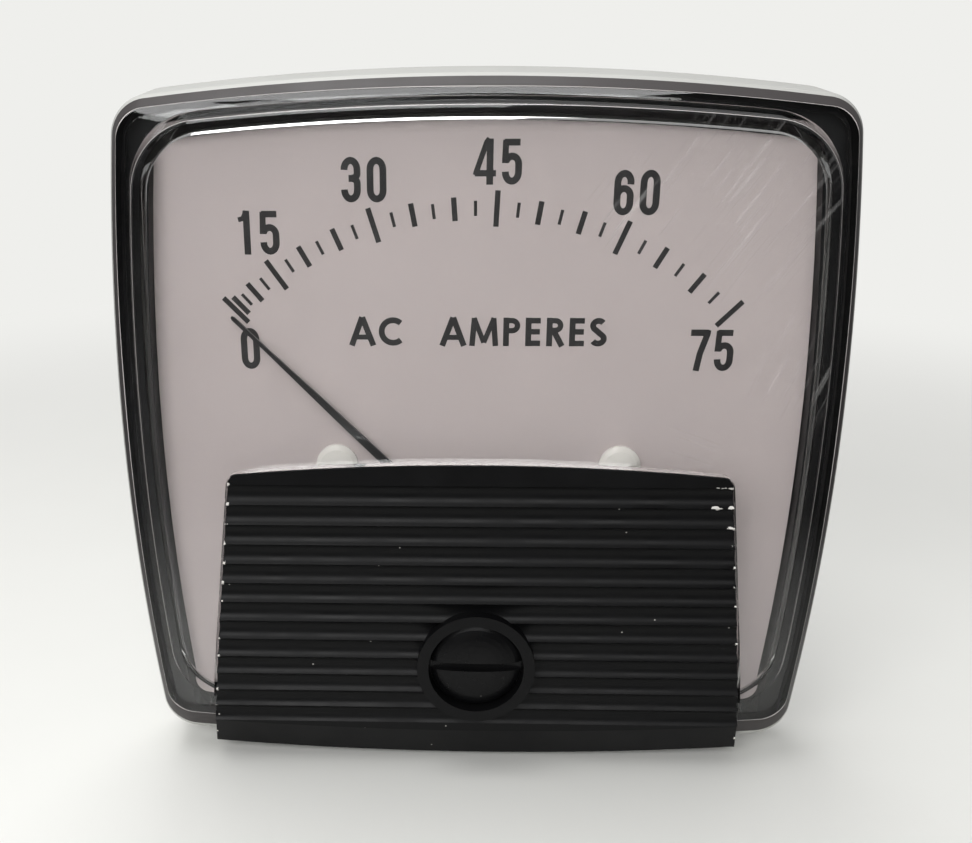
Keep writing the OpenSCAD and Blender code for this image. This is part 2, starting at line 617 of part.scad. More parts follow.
module spindle() color([0.68, 0.69, 0.7]) face() {
    translate([0, 0, spindle_back + 0.8]) cylinder(r = spindle_r,
        h = spindle_front - spindle_back - 1.6, $fn = 48);
    translate([0, 0, spindle_back + 0.1]) cylinder(r1 = 0.15, r2 = spindle_r, h = 0.7 + eps, $fn = 48);
    translate([0, 0, spindle_front - 0.8 - eps]) cylinder(r1 = spindle_r, r2 = 0.15,
        h = 0.7 + eps, $fn = 48);
}

// Lance pointer with a flat blade that narrows to the tip
module pointer() color([0.03, 0.03, 0.03]) face() rotate([0, 0, pointer_rest]) difference() {
    translate([0, 0, pointer_h]) linear_extrude(pointer_t) union() {
        polygon([[-pointer_root_w / 2, 0], [pointer_root_w / 2, 0],
            [pointer_root_w * 0.32, pointer_len * 0.62], [pointer_tip_w / 2, pointer_len * 0.86],
            [pointer_tip_w / 2, pointer_len - 0.4], [0.1, pointer_len], [-0.1, pointer_len],
            [-pointer_tip_w / 2, pointer_len - 0.4], [-pointer_tip_w / 2, pointer_len * 0.86],
            [-pointer_root_w * 0.32, pointer_len * 0.62]]);
        circle(r = 3.2, $fn = 64);
        for (a = [90, 180, 270]) rotate([0, 0, a]) translate([-0.6, 0]) square([1.2, 10.5]);
    }
    translate([0, 0, pointer_h - 1]) cylinder(r = 1.6, h = 4, $fn = 48);
}

module pointer_hub() color([0.8, 0.72, 0.45]) face() difference() {
    union() {
        translate([0, 0, pointer_h - 1.2]) cylinder(r = 2.6, h = 1.2, $fn = 64);
        translate([0, 0, pointer_h - eps]) cylinder(r = 1.6, h = pointer_t + 0.3, $fn = 64);
    }
    translate([0, 0, pointer_h - 3]) cylinder(r = spindle_r, h = 8, $fn = 48);
}

// Coiled balance weights slipped on the tail and the side arms
module balance_weights() color([0.75, 0.68, 0.42]) face() rotate([0, 0, pointer_rest])
    for (k = [[90, 7], [180, 8], [270, 7]]) rotate([0, 0, k[0]])
        translate([0, k[1], pointer_h + pointer_t / 2]) rotate([-90, 0, 0]) difference() {
            cylinder(r = 1.1, h = 2.2, $fn = 32);
            translate([-0.6, -pointer_t / 2, -1]) cube([1.2, pointer_t, 5]);
        }

damp_h = frame_h + 2.6;
module damping_vane() color([0.82, 0.82, 0.83]) face() difference() {
    union() {
        tube_sector(13, 2.8, damp_h, damp_h + 0.4, -pointer_rest + 105, -pointer_rest + 255);
        translate([0, 0, damp_h]) cylinder(r = 3.4, h = 0.4, $fn = 64);
        translate([0, 0, damp_h - 0.8]) cylinder(r = 2, h = 2, $fn = 64);
    }
    translate([0, 0, damp_h - 3]) cylinder(r = spindle_r, h = 8, $fn = 48);
}

// Horseshoe magnet that brakes the vane in its slot
module damping_magnet() color([0.35, 0.35, 0.37]) face() difference() {
    translate([-4, -17, frame_h]) cube([8, 11.5, damp_h + 2.6 - frame_h]);
    translate([-6, -14.2, damp_h - 0.6]) cube([12, 12, 1.6]);
}

module spring_collet() color([0.8, 0.72, 0.45]) face() difference() {
    translate([0, 0, spring_h - 0.2]) cylinder(r = collet_r, h = 0.7, $fn = 48);
    translate([0, 0, spring_h - 3]) cylinder(r = spindle_r, h = 8, $fn = 48);
}

// Flat spiral hairspring, from the collet to the lever's tab
spring_turns = 3.5;
collet_r = 1.5;
spring_t = 0.16;
spring_in = collet_r + spring_t / 2;
spring_out = 6.2;
spring_end = 180;
function spring_pt(i, off) = let (f = i / 84) clock(spring_in + (spring_out - spring_in) * f + off,
    spring_end - 360 * spring_turns * (1 - f));
module hairspring() color([0.75, 0.62, 0.35]) face() translate([0, 0, spring_h])
    linear_extrude(0.5) polygon(concat([for (i = [0:84]) spring_pt(i, spring_t / 2)],
        [for (i = [84:-1:0]) spring_pt(i, -spring_t / 2)]));

module front_bridge() color([0.78, 0.71, 0.46]) face() difference() {
    union() {
        translate([0, 0, bridge_h]) cylinder(r = 4.4, h = bridge_t, $fn = 64);
        for (s = [1, -1]) {
            translate([s * post_x, post_z, bridge_h]) cylinder(r = post_r + 0.8,
                h = bridge_t, $fn = 48);
            translate([0, 0, bridge_h]) linear_extrude(bridge_t) polygon([[0, -2.4], [0, 2.4],
                [s * post_x, post_z + 2.4], [s * post_x, post_z - 2.4]]);
        }
    }
    translate([0, 0, bridge_h - 1]) cylinder(r = jewel_r, h = 5, $fn = 64);
}

module rear_bridge() color([0.78, 0.71, 0.46]) face() difference() {
    translate([0, 0, rear_bridge_h - rear_bridge_t]) union() {
        translate([-pillar_x, -3, 0]) cube([2 * pillar_x, 6, rear_bridge_t]);
        for (s = [1, -1]) translate([s * pillar_x, 0, 0]) cylinder(r = 3, h = rear_bridge_t, $fn = 48);
        cylinder(r = 4.6, h = rear_bridge_t, $fn = 64);
    }
    translate([0, 0, rear_bridge_h - 9]) cylinder(r = jewel_r, h = 20, $fn = 64);
    for (s = [1, -1]) translate([s * pillar_x, 0, rear_bridge_h - 9])
        cylinder(r = 1.1, h = 20, $fn = 32);
}

module rear_bridge_screws() color([0.7, 0.7, 0.68]) face() for (s = [1, -1])
    translate([s * pillar_x, 0, rear_bridge_h - rear_bridge_t]) {
        translate([0, 0, -0.4]) cylinder(r = 1.1, h = rear_bridge_t + 3.9, $fn = 32);
        difference() {
            translate([0, 0, -1.1]) cylinder(r = 2.1, h = 1.1, $fn = 48);
            translate([-3, -0.3, -1.6]) cube([6, 0.6, 1]);
        }
    }

// Jewel screw with a cone-shaped seat for the spindle's point
cone_len = 0.5;
module jewel(h_tip, dir, len, nose) translate([0, 0, h_tip]) mirror([0, 0, dir < 0 ? 1 : 0])
    difference() {
        translate([0, 0, -nose]) cylinder(r = jewel_r, h = len + nose, $fn = 64);
        translate([0, 0, -cone_len]) cylinder(r1 = spindle_r + jewel_gap + 0.1,
            r2 = 0.15 + jewel_gap, h = cone_len, $fn = 48);
        translate([0, 0, -nose - 1]) cylinder(r = spindle_r + jewel_gap + 0.1,
            h = nose - cone_len + 1 + eps, $fn = 48);
        translate([-3, -0.3, len - 0.7]) cube([6, 0.6, 2]);
    }
module front_jewel_screw() color([0.7, 0.7, 0.68]) face()
    jewel(spindle_front, 1, lever_h + lever_t + 1.6 - spindle_front, cone_len + 0.01);
module rear_jewel_screw() color([0.7, 0.7, 0.68]) face()
    jewel(spindle_back, -1, spindle_back - rear_bridge_h + rear_bridge_t + 2.8,
        rear_bridge_h - spindle_back);
module front_jewel_nut() color([0.8, 0.72, 0.45]) face() difference() {
    translate([0, 0, lever_h + lever_t + 0.1]) cylinder(r = 3.7, h = 1.1, $fn = 6);
    translate([0, 0, lever_h]) cylinder(r = jewel_r, h = 5, $fn = 64);
}
module rear_jewel_nut() color([0.8, 0.72, 0.45]) face() difference() {
    translate([0, 0, rear_bridge_h - rear_bridge_t - 1.5]) cylinder(r = 4, h = 1.5, $fn = 6);
    translate([0, 0, rear_bridge_h - 9]) cylinder(r = jewel_r, h = 20, $fn = 64);
}

// Stop pins beside the pointer's limits
stop_rad = 19.2;
stop_pin_r = 0.8;
stop_out = asin((pointer_root_w / 2 + stop_pin_r + 0.1) / stop_rad);
module pointer_stops() color([0.6, 0.6, 0.58]) face()
    for (a = [-stop_out - pointer_rest - stop_low, stop_out - pointer_rest + stop_high])
        translate([clock(stop_rad, a)[0], clock(stop_rad, a)[1], frame_h])
            cylinder(r = stop_pin_r, h = pointer_h + 1.2 - frame_h, $fn = 32);

// Forked lever that moves the hairspring's outer end
module zero_lever() color([0.78, 0.71, 0.46]) face() difference() {
    union() {
        translate([0, 0, lever_h]) cylinder(r = 4, h = lever_t, $fn = 64);
        translate([0, 0, lever_h]) linear_extrude(lever_t) polygon([[-2, 0], [2, 0],
            [2.6, -adjuster_drop - pin_offset - 2.2], [-2.6, -adjuster_drop - pin_offset - 2.2]]);
        // Tab that reaches back to the hairspring, just clear of the bridge
        translate([-0.8, -spring_out - 1.2, spring_h - 0.3]) cube([1.6, 0.8, lever_h - spring_h + 0.5]);
    }
    translate([0, 0, lever_h - 1]) cylinder(r = jewel_hub_r, h = 5, $fn = 64);
    translate([-pin_r - 0.12, -adjuster_drop - pin_offset - 4, lever_h - 1])
        cube([2 * pin_r + 0.24, 5.4, 4]);
}

// Domed adjuster with slot, shank and eccentric pin
head_seat = face_h(-adjuster_drop) - 1.2;
boss_back = mask_in_h - 0.6;
clip_t = 0.6;
clip_h = boss_back - 0.1 - clip_t;
shank_end = clip_h - 0.3;
module adjuster_head() color([0.06, 0.06, 0.065]) face() translate([0, -adjuster_drop, 0]) {
    difference() {
        rotate_extrude($fn = ROUND) polygon(concat([[0, head_seat + 0.05],
            [head_r, head_seat + 0.05]], [for (i = [0:9]) let (a = 90 * i / 9)
            [head_r * cos(a), head_seat + 0.6 + dome_rise * sin(a)]]));
        translate([-head_r - 1, -slot_w / 2, head_seat + 0.6 + dome_rise - slot_depth])
            cube([2 * head_r + 2, slot_w, 5]);
    }
    translate([0, 0, shank_end]) cylinder(r = shank_r, h = head_seat + 0.06 - shank_end, $fn = ROUND);
    translate([0, -pin_offset, lever_h - 0.2]) cylinder(r = pin_r,
        h = shank_end - lever_h + 0.2 + eps, $fn = 48);
}

// Spring clip that keeps the adjuster in the mask
module adjuster_clip() color([0.68, 0.68, 0.66]) face() translate([0, -adjuster_drop, 0])
    difference() {
        translate([0, 0, clip_h]) cylinder(r = shank_r + 2, h = clip_t, $fn = 64);
        translate([0, 0, mask_in_h - 4]) cylinder(r = shank_r, h = 8, $fn = 64);
    }

front_cover();
lower_mask();
base();
dial_plate();
dial_screw_left();
dial_screw_right();
panel_stud_upper_left();
panel_stud_upper_right();
panel_stud_lower_left();
panel_stud_lower_right();
terminal_stud_left();
terminal_stud_right();
terminal_washer_left();
terminal_washer_right();
terminal_lock_washer_left();
terminal_lock_washer_right();
terminal_nut_left();
terminal_nut_right();
solder_lug_left();
solder_lug_right();
lead_left();
lead_right();
movement_frame();
frame_screws();
coil_former();
coil_winding();
fixed_vane();
front_bridge();
rear_bridge();
rear_bridge_screws();
front_jewel_screw();
rear_jewel_screw();
front_jewel_nut();
rear_jewel_nut();
pointer_stops();
damping_magnet();
spindle();
pointer();
pointer_hub();
balance_weights();
moving_vane();
damping_vane();
spring_collet();
hairspring();
zero_lever();
adjuster_head();
adjuster_clip();
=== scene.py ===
"""Looks of the analog panel meter: clear cover, printed dial, fluted mask, pointer and hardware.

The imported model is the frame. The operators below finish its pieces and set the stage.
"""

import math

import bmesh
import bpy
import numpy as np
from mathutils import Matrix, Vector
from mathutils.geometry import delaunay_2d_cdt


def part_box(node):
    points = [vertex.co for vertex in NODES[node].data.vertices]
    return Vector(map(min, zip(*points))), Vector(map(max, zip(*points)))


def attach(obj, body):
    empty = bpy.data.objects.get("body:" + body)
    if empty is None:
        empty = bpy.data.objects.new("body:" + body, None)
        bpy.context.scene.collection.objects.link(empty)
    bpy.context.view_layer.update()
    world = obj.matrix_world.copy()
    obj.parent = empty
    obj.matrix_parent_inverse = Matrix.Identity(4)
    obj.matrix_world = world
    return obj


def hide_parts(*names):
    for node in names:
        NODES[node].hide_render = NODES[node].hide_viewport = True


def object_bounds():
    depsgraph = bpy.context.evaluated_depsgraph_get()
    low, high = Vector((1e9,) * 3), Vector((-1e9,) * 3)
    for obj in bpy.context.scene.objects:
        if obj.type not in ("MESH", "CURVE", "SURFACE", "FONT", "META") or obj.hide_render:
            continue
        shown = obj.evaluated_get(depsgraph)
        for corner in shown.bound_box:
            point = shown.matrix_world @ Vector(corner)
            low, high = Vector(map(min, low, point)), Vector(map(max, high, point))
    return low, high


bl_info = {
    "name": "Analog panel meter looks",
    "version": (1, 0, 0),
    "blender": (4, 5, 0),
    "location": "View3D > Sidebar > Panel meter",
    "description": "Dresses the packed panel meter and sets it on a pale studio floor",
    "category": "Object",
}

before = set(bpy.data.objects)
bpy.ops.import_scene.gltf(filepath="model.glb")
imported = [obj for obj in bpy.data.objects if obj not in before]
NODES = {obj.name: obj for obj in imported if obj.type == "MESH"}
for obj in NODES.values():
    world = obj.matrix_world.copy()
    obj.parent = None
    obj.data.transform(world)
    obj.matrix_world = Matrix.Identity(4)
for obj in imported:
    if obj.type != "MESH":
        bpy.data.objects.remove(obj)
CAD_BOX = [list(corner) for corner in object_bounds()]
MM = 0.001
# Front faces are measured forward from the panel, towards -Y
DIAL_FACE = -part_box("dial_plate")[0].y
COVER_LOW, COVER_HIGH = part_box("front_cover")


# ---------------------------------------------------------------- sizes and colours


def length(name, text, default_mm, low=0.0):
    """A length that the sidebar shows in the scene's own unit."""
    return bpy.props.FloatProperty(
        name=name,
        description=text,
        default=default_mm * MM,
        min=low,
        unit="LENGTH",
        subtype="DISTANCE",
        precision=5,
    )


def tint(name, text, code):
    """A colour property whose default is an sRGB hex value."""
    return bpy.props.FloatVectorProperty(
        name=name,
        description=text,
        default=paint(code)[:3],
        subtype="COLOR",
        size=3,
        min=0,
        max=1,
    )


def power(name, text, watts):
    """Power of a lamp."""
    return bpy.props.FloatProperty(name=name, description=text, default=watts, min=0, unit="POWER")


def tilted(name, text, degrees):
    """An angle that the sidebar shows in the scene's own unit."""
    return bpy.props.FloatProperty(
        name=name, description=text, default=math.radians(degrees), subtype="ANGLE"
    )


def paint(code):
    """Linear RGBA of an sRGB hex value."""
    parts = [int(code[i : i + 2], 16) / 255 for i in (1, 3, 5)]
    return [c / 12.92 if c <= 0.04045 else ((c + 0.055) / 1.055) ** 2.4 for c in parts] + [1.0]


class MeterPrintSettings(bpy.types.PropertyGroup):
    tick_radius: length("Scale radius", "Middle of every scale mark", 56.4)
    major_len: length("Major mark", "Length of the numbered marks", 5.5)
    medium_len: length("Medium mark", "Length of the marks between numbers", 3.6)
    minor_len: length("Minor mark", "Length of the half-step marks", 2.3)
    mark_width: length("Mark width", "Width of the longer marks", 0.84)
    minor_width: length("Minor width", "Width of the half-step marks", 0.5)
    numeral_height: length("Numeral height", "Height of the scale numbers", 6.8)
    unit_height: length("Unit height", "Height of the unit words", 4.65)
    ink: length("Ink", "Thickness of the screen print", 0.03)
    ink_colour: tint("Ink colour", "Black screen print", "#151314")


class MeterColourSettings(bpy.types.PropertyGroup):
    dial: tint("Dial", "Warm grey satin paint", "#aea3a2")
    cover: tint("Cover", "Slight grey of old clear plastic", "#f2f3f2")
    moulding: tint("Moulding", "Black phenolic", "#09090a")
    screw: tint("Screw paint", "White enamel", "#c9c5c0")
    brass: tint("Brass", "Turned brass", "#c9a65c")
    zinc: tint("Zinc plate", "Bright zinc on steel", "#b9b9b5")


class MeterStageSettings(bpy.types.PropertyGroup):
    floor: tint("Floor", "Pale studio table", "#e9e9e5")
    key_power: power("Top light", "Power of the light above", 3.4)
    fill_power: power("Fill light", "Power of the front fill", 4.5)
    camera_turn: tilted("Camera turn", "Turn of the camera about the upright", 1.96)
    camera_tilt: tilted("Camera tilt", "Downward tilt of the camera", 22.2)
    camera_roll: tilted("Camera roll", "Roll about the line of sight", 0.24)


# ---------------------------------------------------------------- small builders


def add(tree, kind, values=None, links=None, **settings):
    """Adds a node with its settings, socket values and links, and returns it.

    A link is from a socket, or from a node's first output.
    """
    made = tree.nodes.new(kind)
    for key, value in settings.items():
        setattr(made, key, value)
    for socket, value in (values or {}).items():
        made.inputs[socket].default_value = value
    for socket, source in (links or {}).items():
        if isinstance(source, bpy.types.Node):
            source = source.outputs[0]
        tree.links.new(source, made.inputs[socket])
    return made


def blank(name):
    """A new material with an empty node tree and its output."""
    made = bpy.data.materials.new(name)
    made.use_nodes = True
    made.node_tree.nodes.clear()
    return made, made.node_tree, made.node_tree.nodes.new("ShaderNodeOutputMaterial")


COARSE_GRAIN = 12 * MM
EVEN_NOISE = {"From Min": 0.3, "From Max": 0.7}


def ranged(colour, low, high):
    """Two opaque shades of a colour, for the sockets of a colour mix."""
    return {6: [c * low for c in colour[:3]] + [1], 7: [min(1, c * high) for c in colour[:3]] + [1]}


def surface(
    name, base, roughness, metallic=0.0, grain_mm=0.4, bump=0.15, mottle=0.08, coat=0.0, gloss=0.5
):
    """A solid finish: base colour with slight mottle, uneven roughness and a fine grain."""
    spread, relief_depth = 0.06, 0.05 * MM
    made, tree, out = blank(name)
    place = add(tree, "ShaderNodeTexCoord").outputs["Object"]
    coarse = add(
        tree, "ShaderNodeTexNoise", {"Scale": 1 / COARSE_GRAIN, "Detail": 3.0}, {"Vector": place}
    )
    fine = add(
        tree, "ShaderNodeTexNoise", {"Scale": 1 / (grain_mm * MM), "Detail": 2.0}, {"Vector": place}
    )
    shade = add(
        tree, "ShaderNodeMix", ranged(base, 1 - mottle, 1 + mottle), {0: coarse}, data_type="RGBA"
    )
    rough = add(
        tree, "ShaderNodeMapRange",
        EVEN_NOISE | {"To Min": max(0.02, roughness - spread), "To Max": roughness + spread},
        {"Value": coarse},
    )
    relief = add(
        tree, "ShaderNodeBump", {"Strength": bump, "Distance": relief_depth}, {"Height": fine}
    )
    shader = add(
        tree, "ShaderNodeBsdfPrincipled",
        {"Metallic": metallic, "Coat Weight": coat, "Specular IOR Level": gloss},
        {"Base Color": shade.outputs[2], "Roughness": rough, "Normal": relief},
    )
    tree.links.new(shader.outputs[0], out.inputs["Surface"])
    return made


def dress(material, *names):
    """Gives CAD nodes their finish."""
    for name in names:
        slots = NODES[name].data.materials
        slots.clear()
        slots.append(material)


def face_out(data, weld=False):
    """Turns every face of a mesh outwards, after it welds points that coincide if asked."""
    work = bmesh.new()
    work.from_mesh(data)
    if weld:
        bmesh.ops.remove_doubles(work, verts=work.verts, dist=1e-7)
    bmesh.ops.recalc_face_normals(work, faces=work.faces)
    work.to_mesh(data)
    work.free()


def smooth_below(data, angle):
    """Shades a mesh smooth, apart from edges sharper than the angle in degrees."""
    data.polygons.foreach_set("use_smooth", [True] * len(data.polygons))
    data.set_sharp_from_angle(angle=math.radians(angle))


def shown(name, data):
    """A mesh, lamp or lens as a new object in the scene."""
    made = bpy.data.objects.new(name, data)
    bpy.context.scene.collection.objects.link(made)
    return made


def ring_faces(a, b, n):
    """Faces between rings a and b of a stack of rings with n points each."""
    return [(a * n + i, a * n + (i + 1) % n, b * n + (i + 1) % n, b * n + i) for i in range(n)]


def mesh_piece(name, points, faces, material, body, smooth=None):
    """A new piece from points in metres, riding on a body."""
    data = bpy.data.meshes.new(name)
    data.from_pydata([tuple(p) for p in points], [], faces)
    data.validate()
    face_out(data, weld=True)
    data.materials.append(material)
    if smooth is not None:
        smooth_below(data, smooth)
    made = shown(name, data)
    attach(made, body)
    return made


def clock(radius, angle):
    """Point at a clock angle in degrees, measured from upright towards the right."""
    turn = math.radians(angle)
    return Vector((radius * math.sin(turn), radius * math.cos(turn)))


# ---------------------------------------------------------------- print on the dial

# Clock angle of zero and the angle up to the top reading, in degrees
SCALE_START, SCALE_SWEEP = -44.3, 89.1
SCALE_TOP = 75
NUMBER_STEP, MEDIUM_STEP, MARK_STEP = 15, 5, 2.5
LOW_END_CURVE = 0.2
HIGH_END_BEND = 0.045
# The print starts this far inside the dial's paint
PRINT_SINK = 0.02 * MM


def scale_angle(value):
    """Clock angle of a reading: crowded at the low end, nearly even above it."""
    t = value / SCALE_TOP
    a = LOW_END_CURVE
    share = (math.hypot(t, a) - a) / (math.hypot(1, a) - a)
    share -= HIGH_END_BEND * t**4 * (1 - t * t)
    return SCALE_START + SCALE_SWEEP * share


def ribbon(path, width):
    """Outline of a stroke of even width along a path, with mitred bends and square ends."""
    pts = [
        Vector(p) for i, p in enumerate(path)
        if not i or (Vector(p) - Vector(path[i - 1])).length > 1e-4
    ]
    sides = [[], []]
    for i, p in enumerate(pts):
        before = (p - pts[i - 1]).normalized() if i else None
        after = (pts[i + 1] - p).normalized() if i + 1 < len(pts) else None
        along = ((before or after) + (after or before)).normalized()
        across = Vector((-along.y, along.x))
        one = after or before
        reach = width / 2 / max(0.35, across.dot(Vector((-one.y, one.x))))
        sides[0].append(p + across * reach)
        sides[1].append(p - across * reach)
    return sides[0] + sides[1][::-1]


def bend(cx, cy, rx, ry, a0, a1, n=14):
    """Points on part of an ellipse, angles in degrees from the right, upwards."""
    steps = [math.radians(a0 + (a1 - a0) * i / n) for i in range(n + 1)]
    return [(cx + rx * math.cos(a), cy + ry * math.sin(a)) for a in steps]


def numeral_strokes(digit, s):
    """Strokes of a condensed gothic numeral, one unit high; s is the stroke's width."""
    # Half width and height of the round ends, to the middle of the stroke
    w, v = 0.225 - s / 2, 0.2
    lo, hi = s / 2, 1 - s / 2
    if digit == "0":
        return [
            (bend(0, hi - v, w, v, 0, 180) + bend(0, lo + v, w, v, 180, 270), s),
            (bend(0, lo + v, w, v, 262, 360) + [(w, hi - v + 0.01)], s),
        ]
    if digit == "1":
        return [
            ([(0.06, 0), (0.06, 1)], s),
            ([(-0.13, hi - 0.13), (-0.02, hi - 0.1), (0.065, 0.99)], s * 0.72),
        ]
    if digit == "3":
        return [
            (
                bend(0, hi - v, w, v, 182, 0) + [(w, 0.63)] + bend(
                    0, 0.63, w, 0.1, 0, -90, 6
                ) + [(-0.05, 0.53)],
                s,
            ),
            ([(-0.05, 0.53)] + bend(0, 0.43, w, 0.1, 90, 0, 6) + bend(0, lo + v, w, v, 0, -182), s),
        ]
    if digit == "4":
        return [
            ([(0.09, 0), (0.09, 1)], s),
            ([(-0.25, 0.25), (0.23, 0.25)], s * 0.9),
            ([(0.075, 1.0), (0.01, 0.92), (-0.21, 0.3), (-0.235, 0.21)], s * 0.8),
        ]
    if digit == "5":
        return [
            ([(-w - 0.03, 1 - s / 2), (w + 0.03, 1 - s / 2)], s * 0.95),
            ([(-w + 0.005, 0.97), (-w - 0.012, 0.47)], s * 0.9),
            (bend(0, 0.45, w, 0.17, 165, 0) + bend(0, lo + v, w, v, 0, -182), s),
        ]
    if digit == "6":
        return [
            (bend(0, hi - v, w, v, -12, 180) + bend(0, lo + v, w, v, 180, 262), s),
            (bend(0, lo + v, w, v, 250, 360) + bend(0, 0.42, w, 0.17, 0, 170), s),
        ]
    return [
        ([(-0.225, 1 - s / 2), (0.2, 1 - s / 2)], s),
        ([(0.17, 0.985), (0.165, 0.9), (0.02, 0.42), (-0.045, 0)], s * 0.95),
    ]


def letter_strokes(letter, s):
    """Strokes of a plain round-faced capital, one unit high, and its width."""
    lo, hi = s / 2, 1 - s / 2
    stem = ([(lo, 0), (lo, 1)], s)

    def bowl(mid, reach):
        around = bend(0.3, mid, reach, hi - mid, 90, -90)
        return [(lo, hi), (0.3, hi)] + around + [(lo, mid * 2 - hi)], s * 0.92

    if letter == "A":
        return [
            ([(0.02, 0), (0.4, 1.0)], s),
            ([(0.78, 0), (0.4, 1.0)], s),
            ([(0.17, 0.3), (0.63, 0.3)], s * 0.85),
        ], 0.8
    if letter == "C":
        r = 0.5 - s / 2
        return [(bend(0.5, 0.5, r, r, 48, 312, 30), s)], 0.84
    if letter == "M":
        return [
            ([(0.09, 0), (0.17, 0.985)], s * 0.95),
            ([(0.155, 0.985), (0.5, 0.12)], s * 0.85),
            ([(0.5, 0.12), (0.845, 0.985)], s * 0.85),
            ([(0.91, 0), (0.83, 0.985)], s * 0.95),
        ], 1.0
    if letter == "P":
        return [stem, bowl(0.72, 0.19)], 0.6
    if letter == "E":
        bars = ((0.52, hi), (0.5, 0.51), (0.52, lo))
        return [stem] + [([(lo, y), (x, y)], s * 0.95) for x, y in bars], 0.56
    if letter == "R":
        return [stem, bowl(0.73, 0.18), ([(0.27, 0.5), (0.55, 0)], s)], 0.62
    return [
        (
            bend(0.27, 0.73, 0.19, hi - 0.73, 35, 235, 16) + bend(
                0.27, 0.27, 0.2, 0.27 - lo, 60, -150, 18
            ),
            s,
        )
    ], 0.54


def stamped(name, outlines):
    """Union of flat outlines, in millimetres right and up on the dial, as one thin raised print."""
    s = bpy.context.scene.meter_print
    low, high = DIAL_FACE - PRINT_SINK, DIAL_FACE + s.ink
    # Screen-printed vinyl ink: dense black with a soft satin edge-to-edge film
    ink = surface("screen_print_ink_black", s.ink_colour, 0.45, grain_mm=0.2, bump=0.1, mottle=0.15)
    points, faces = [], []
    for outline in outlines:
        start = len(points)
        turn = sum(a[0] * b[1] - b[0] * a[1] for a, b in zip(outline, outline[1:] + outline[:1]))
        points += [Vector((p[0], p[1])) for p in (outline if turn > 0 else outline[::-1])]
        faces.append(list(range(start, len(points))))
    flat, _, cells, _, _, owners = delaunay_2d_cdt(points, [], faces, 1, 1e-4)
    tris = [cell for cell, owner in zip(cells, owners) if owner]
    n = len(flat)
    verts = [(p.x * MM, -level, p.y * MM) for level in (high, low) for p in flat]
    count = {}
    for t in tris:
        for a, b in zip(t, list(t[1:]) + [t[0]]):
            count[(a, b)] = count.get((a, b), 0) + 1
    rim = [(a, b) for a, b in count if (b, a) not in count]
    shape = [tuple(t) for t in tris] + [tuple(i + n for i in reversed(t)) for t in tris]
    shape += [(a, a + n, b + n, b) for a, b in rim]
    return mesh_piece(name, verts, shape, ink, "case")


def placed(strokes, origin, size):
    """Outlines of unit strokes, scaled and moved to their place."""
    return [
        [(origin[0] + p[0] * size, origin[1] + p[1] * size) for p in ribbon(path, width)]
        for path, width in strokes
    ]


class METER_OT_scale_marks(bpy.types.Operator):
    """Print the scale marks, centred on one arc"""

    bl_idname = "meter.scale_marks"
    bl_label = "Scale marks"

    def execute(self, context):
        s = context.scene.meter_print
        outlines = []
        # The first step above zero has no mark, as the scale is crowded there
        for step in [0, *range(2, round(SCALE_TOP / MARK_STEP) + 1)]:
            value = step * MARK_STEP
            major, medium = value % NUMBER_STEP == 0, value % MEDIUM_STEP == 0
            size = s.major_len if major else s.medium_len if medium else s.minor_len
            turn = scale_angle(value)
            out = clock(1, turn)
            across = clock(1, turn + 90) * ((s.mark_width if medium else s.minor_width) / 2 / MM)
            mid, half = out * s.tick_radius / MM, out * size / 2 / MM
            outlines.append(
                [mid - half - across, mid - half + across, mid + half + across, mid + half - across]
            )
        stamped("scale_marks", outlines)
        return {"FINISHED"}


class METER_OT_scale_numbers(bpy.types.Operator):
    """Print the numbers 0 to 75 outside the arc, with both end numbers inside it"""

    bl_idname = "meter.scale_numbers"
    bl_label = "Scale numbers"
    # Radii and step in millimetres, angle in degrees, stroke as a share of the height
    outer_radius = 63.4
    inner_radius = 50.6
    lean_in = 0.96
    end_angle = 47.7
    digit_step = 4.0
    stroke = 0.155

    def execute(self, context):
        s = context.scene.meter_print
        size = s.numeral_height / MM
        outlines = []
        for value in range(0, SCALE_TOP + 1, NUMBER_STEP):
            ends = value in (0, SCALE_TOP)
            angle = scale_angle(value)
            angle = math.copysign(self.end_angle, angle) if ends else angle * self.lean_in
            mid = clock(self.inner_radius if ends else self.outer_radius, angle)
            text = str(value)
            for i, digit in enumerate(text):
                x = mid.x + (i - (len(text) - 1) / 2) * self.digit_step
                outlines += placed(numeral_strokes(digit, self.stroke), (x, mid.y - size / 2), size)
        stamped("scale_numbers", outlines)
        return {"FINISHED"}


class METER_OT_unit_words(bpy.types.Operator):
    """Print the plain unit words in the middle of the dial"""

    bl_idname = "meter.unit_words"
    bl_label = "Unit words"
    # Centre in millimetres right and up of the axis, the rest as a share of the height
    words = ("AC", "AMPERES")
    centre = (-0.3, 36.95)
    letter_gap = 0.17
    word_gap = 1.35
    stroke = 0.205

    def execute(self, context):
        s = context.scene.meter_print
        size = s.unit_height / MM
        x, outlines = 0.0, []
        for word in self.words:
            for letter in word:
                strokes, width = letter_strokes(letter, self.stroke)
                outlines += placed(strokes, (x, 0), size)
                x += (width + self.letter_gap) * size
            x += (self.word_gap - self.letter_gap) * size
        shift = (self.centre[0] - (x - self.word_gap * size) / 2, self.centre[1] - size / 2)
        outlines = [[(p[0] + shift[0], p[1] + shift[1]) for p in o] for o in outlines]
        stamped("unit_words", outlines)
        return {"FINISHED"}


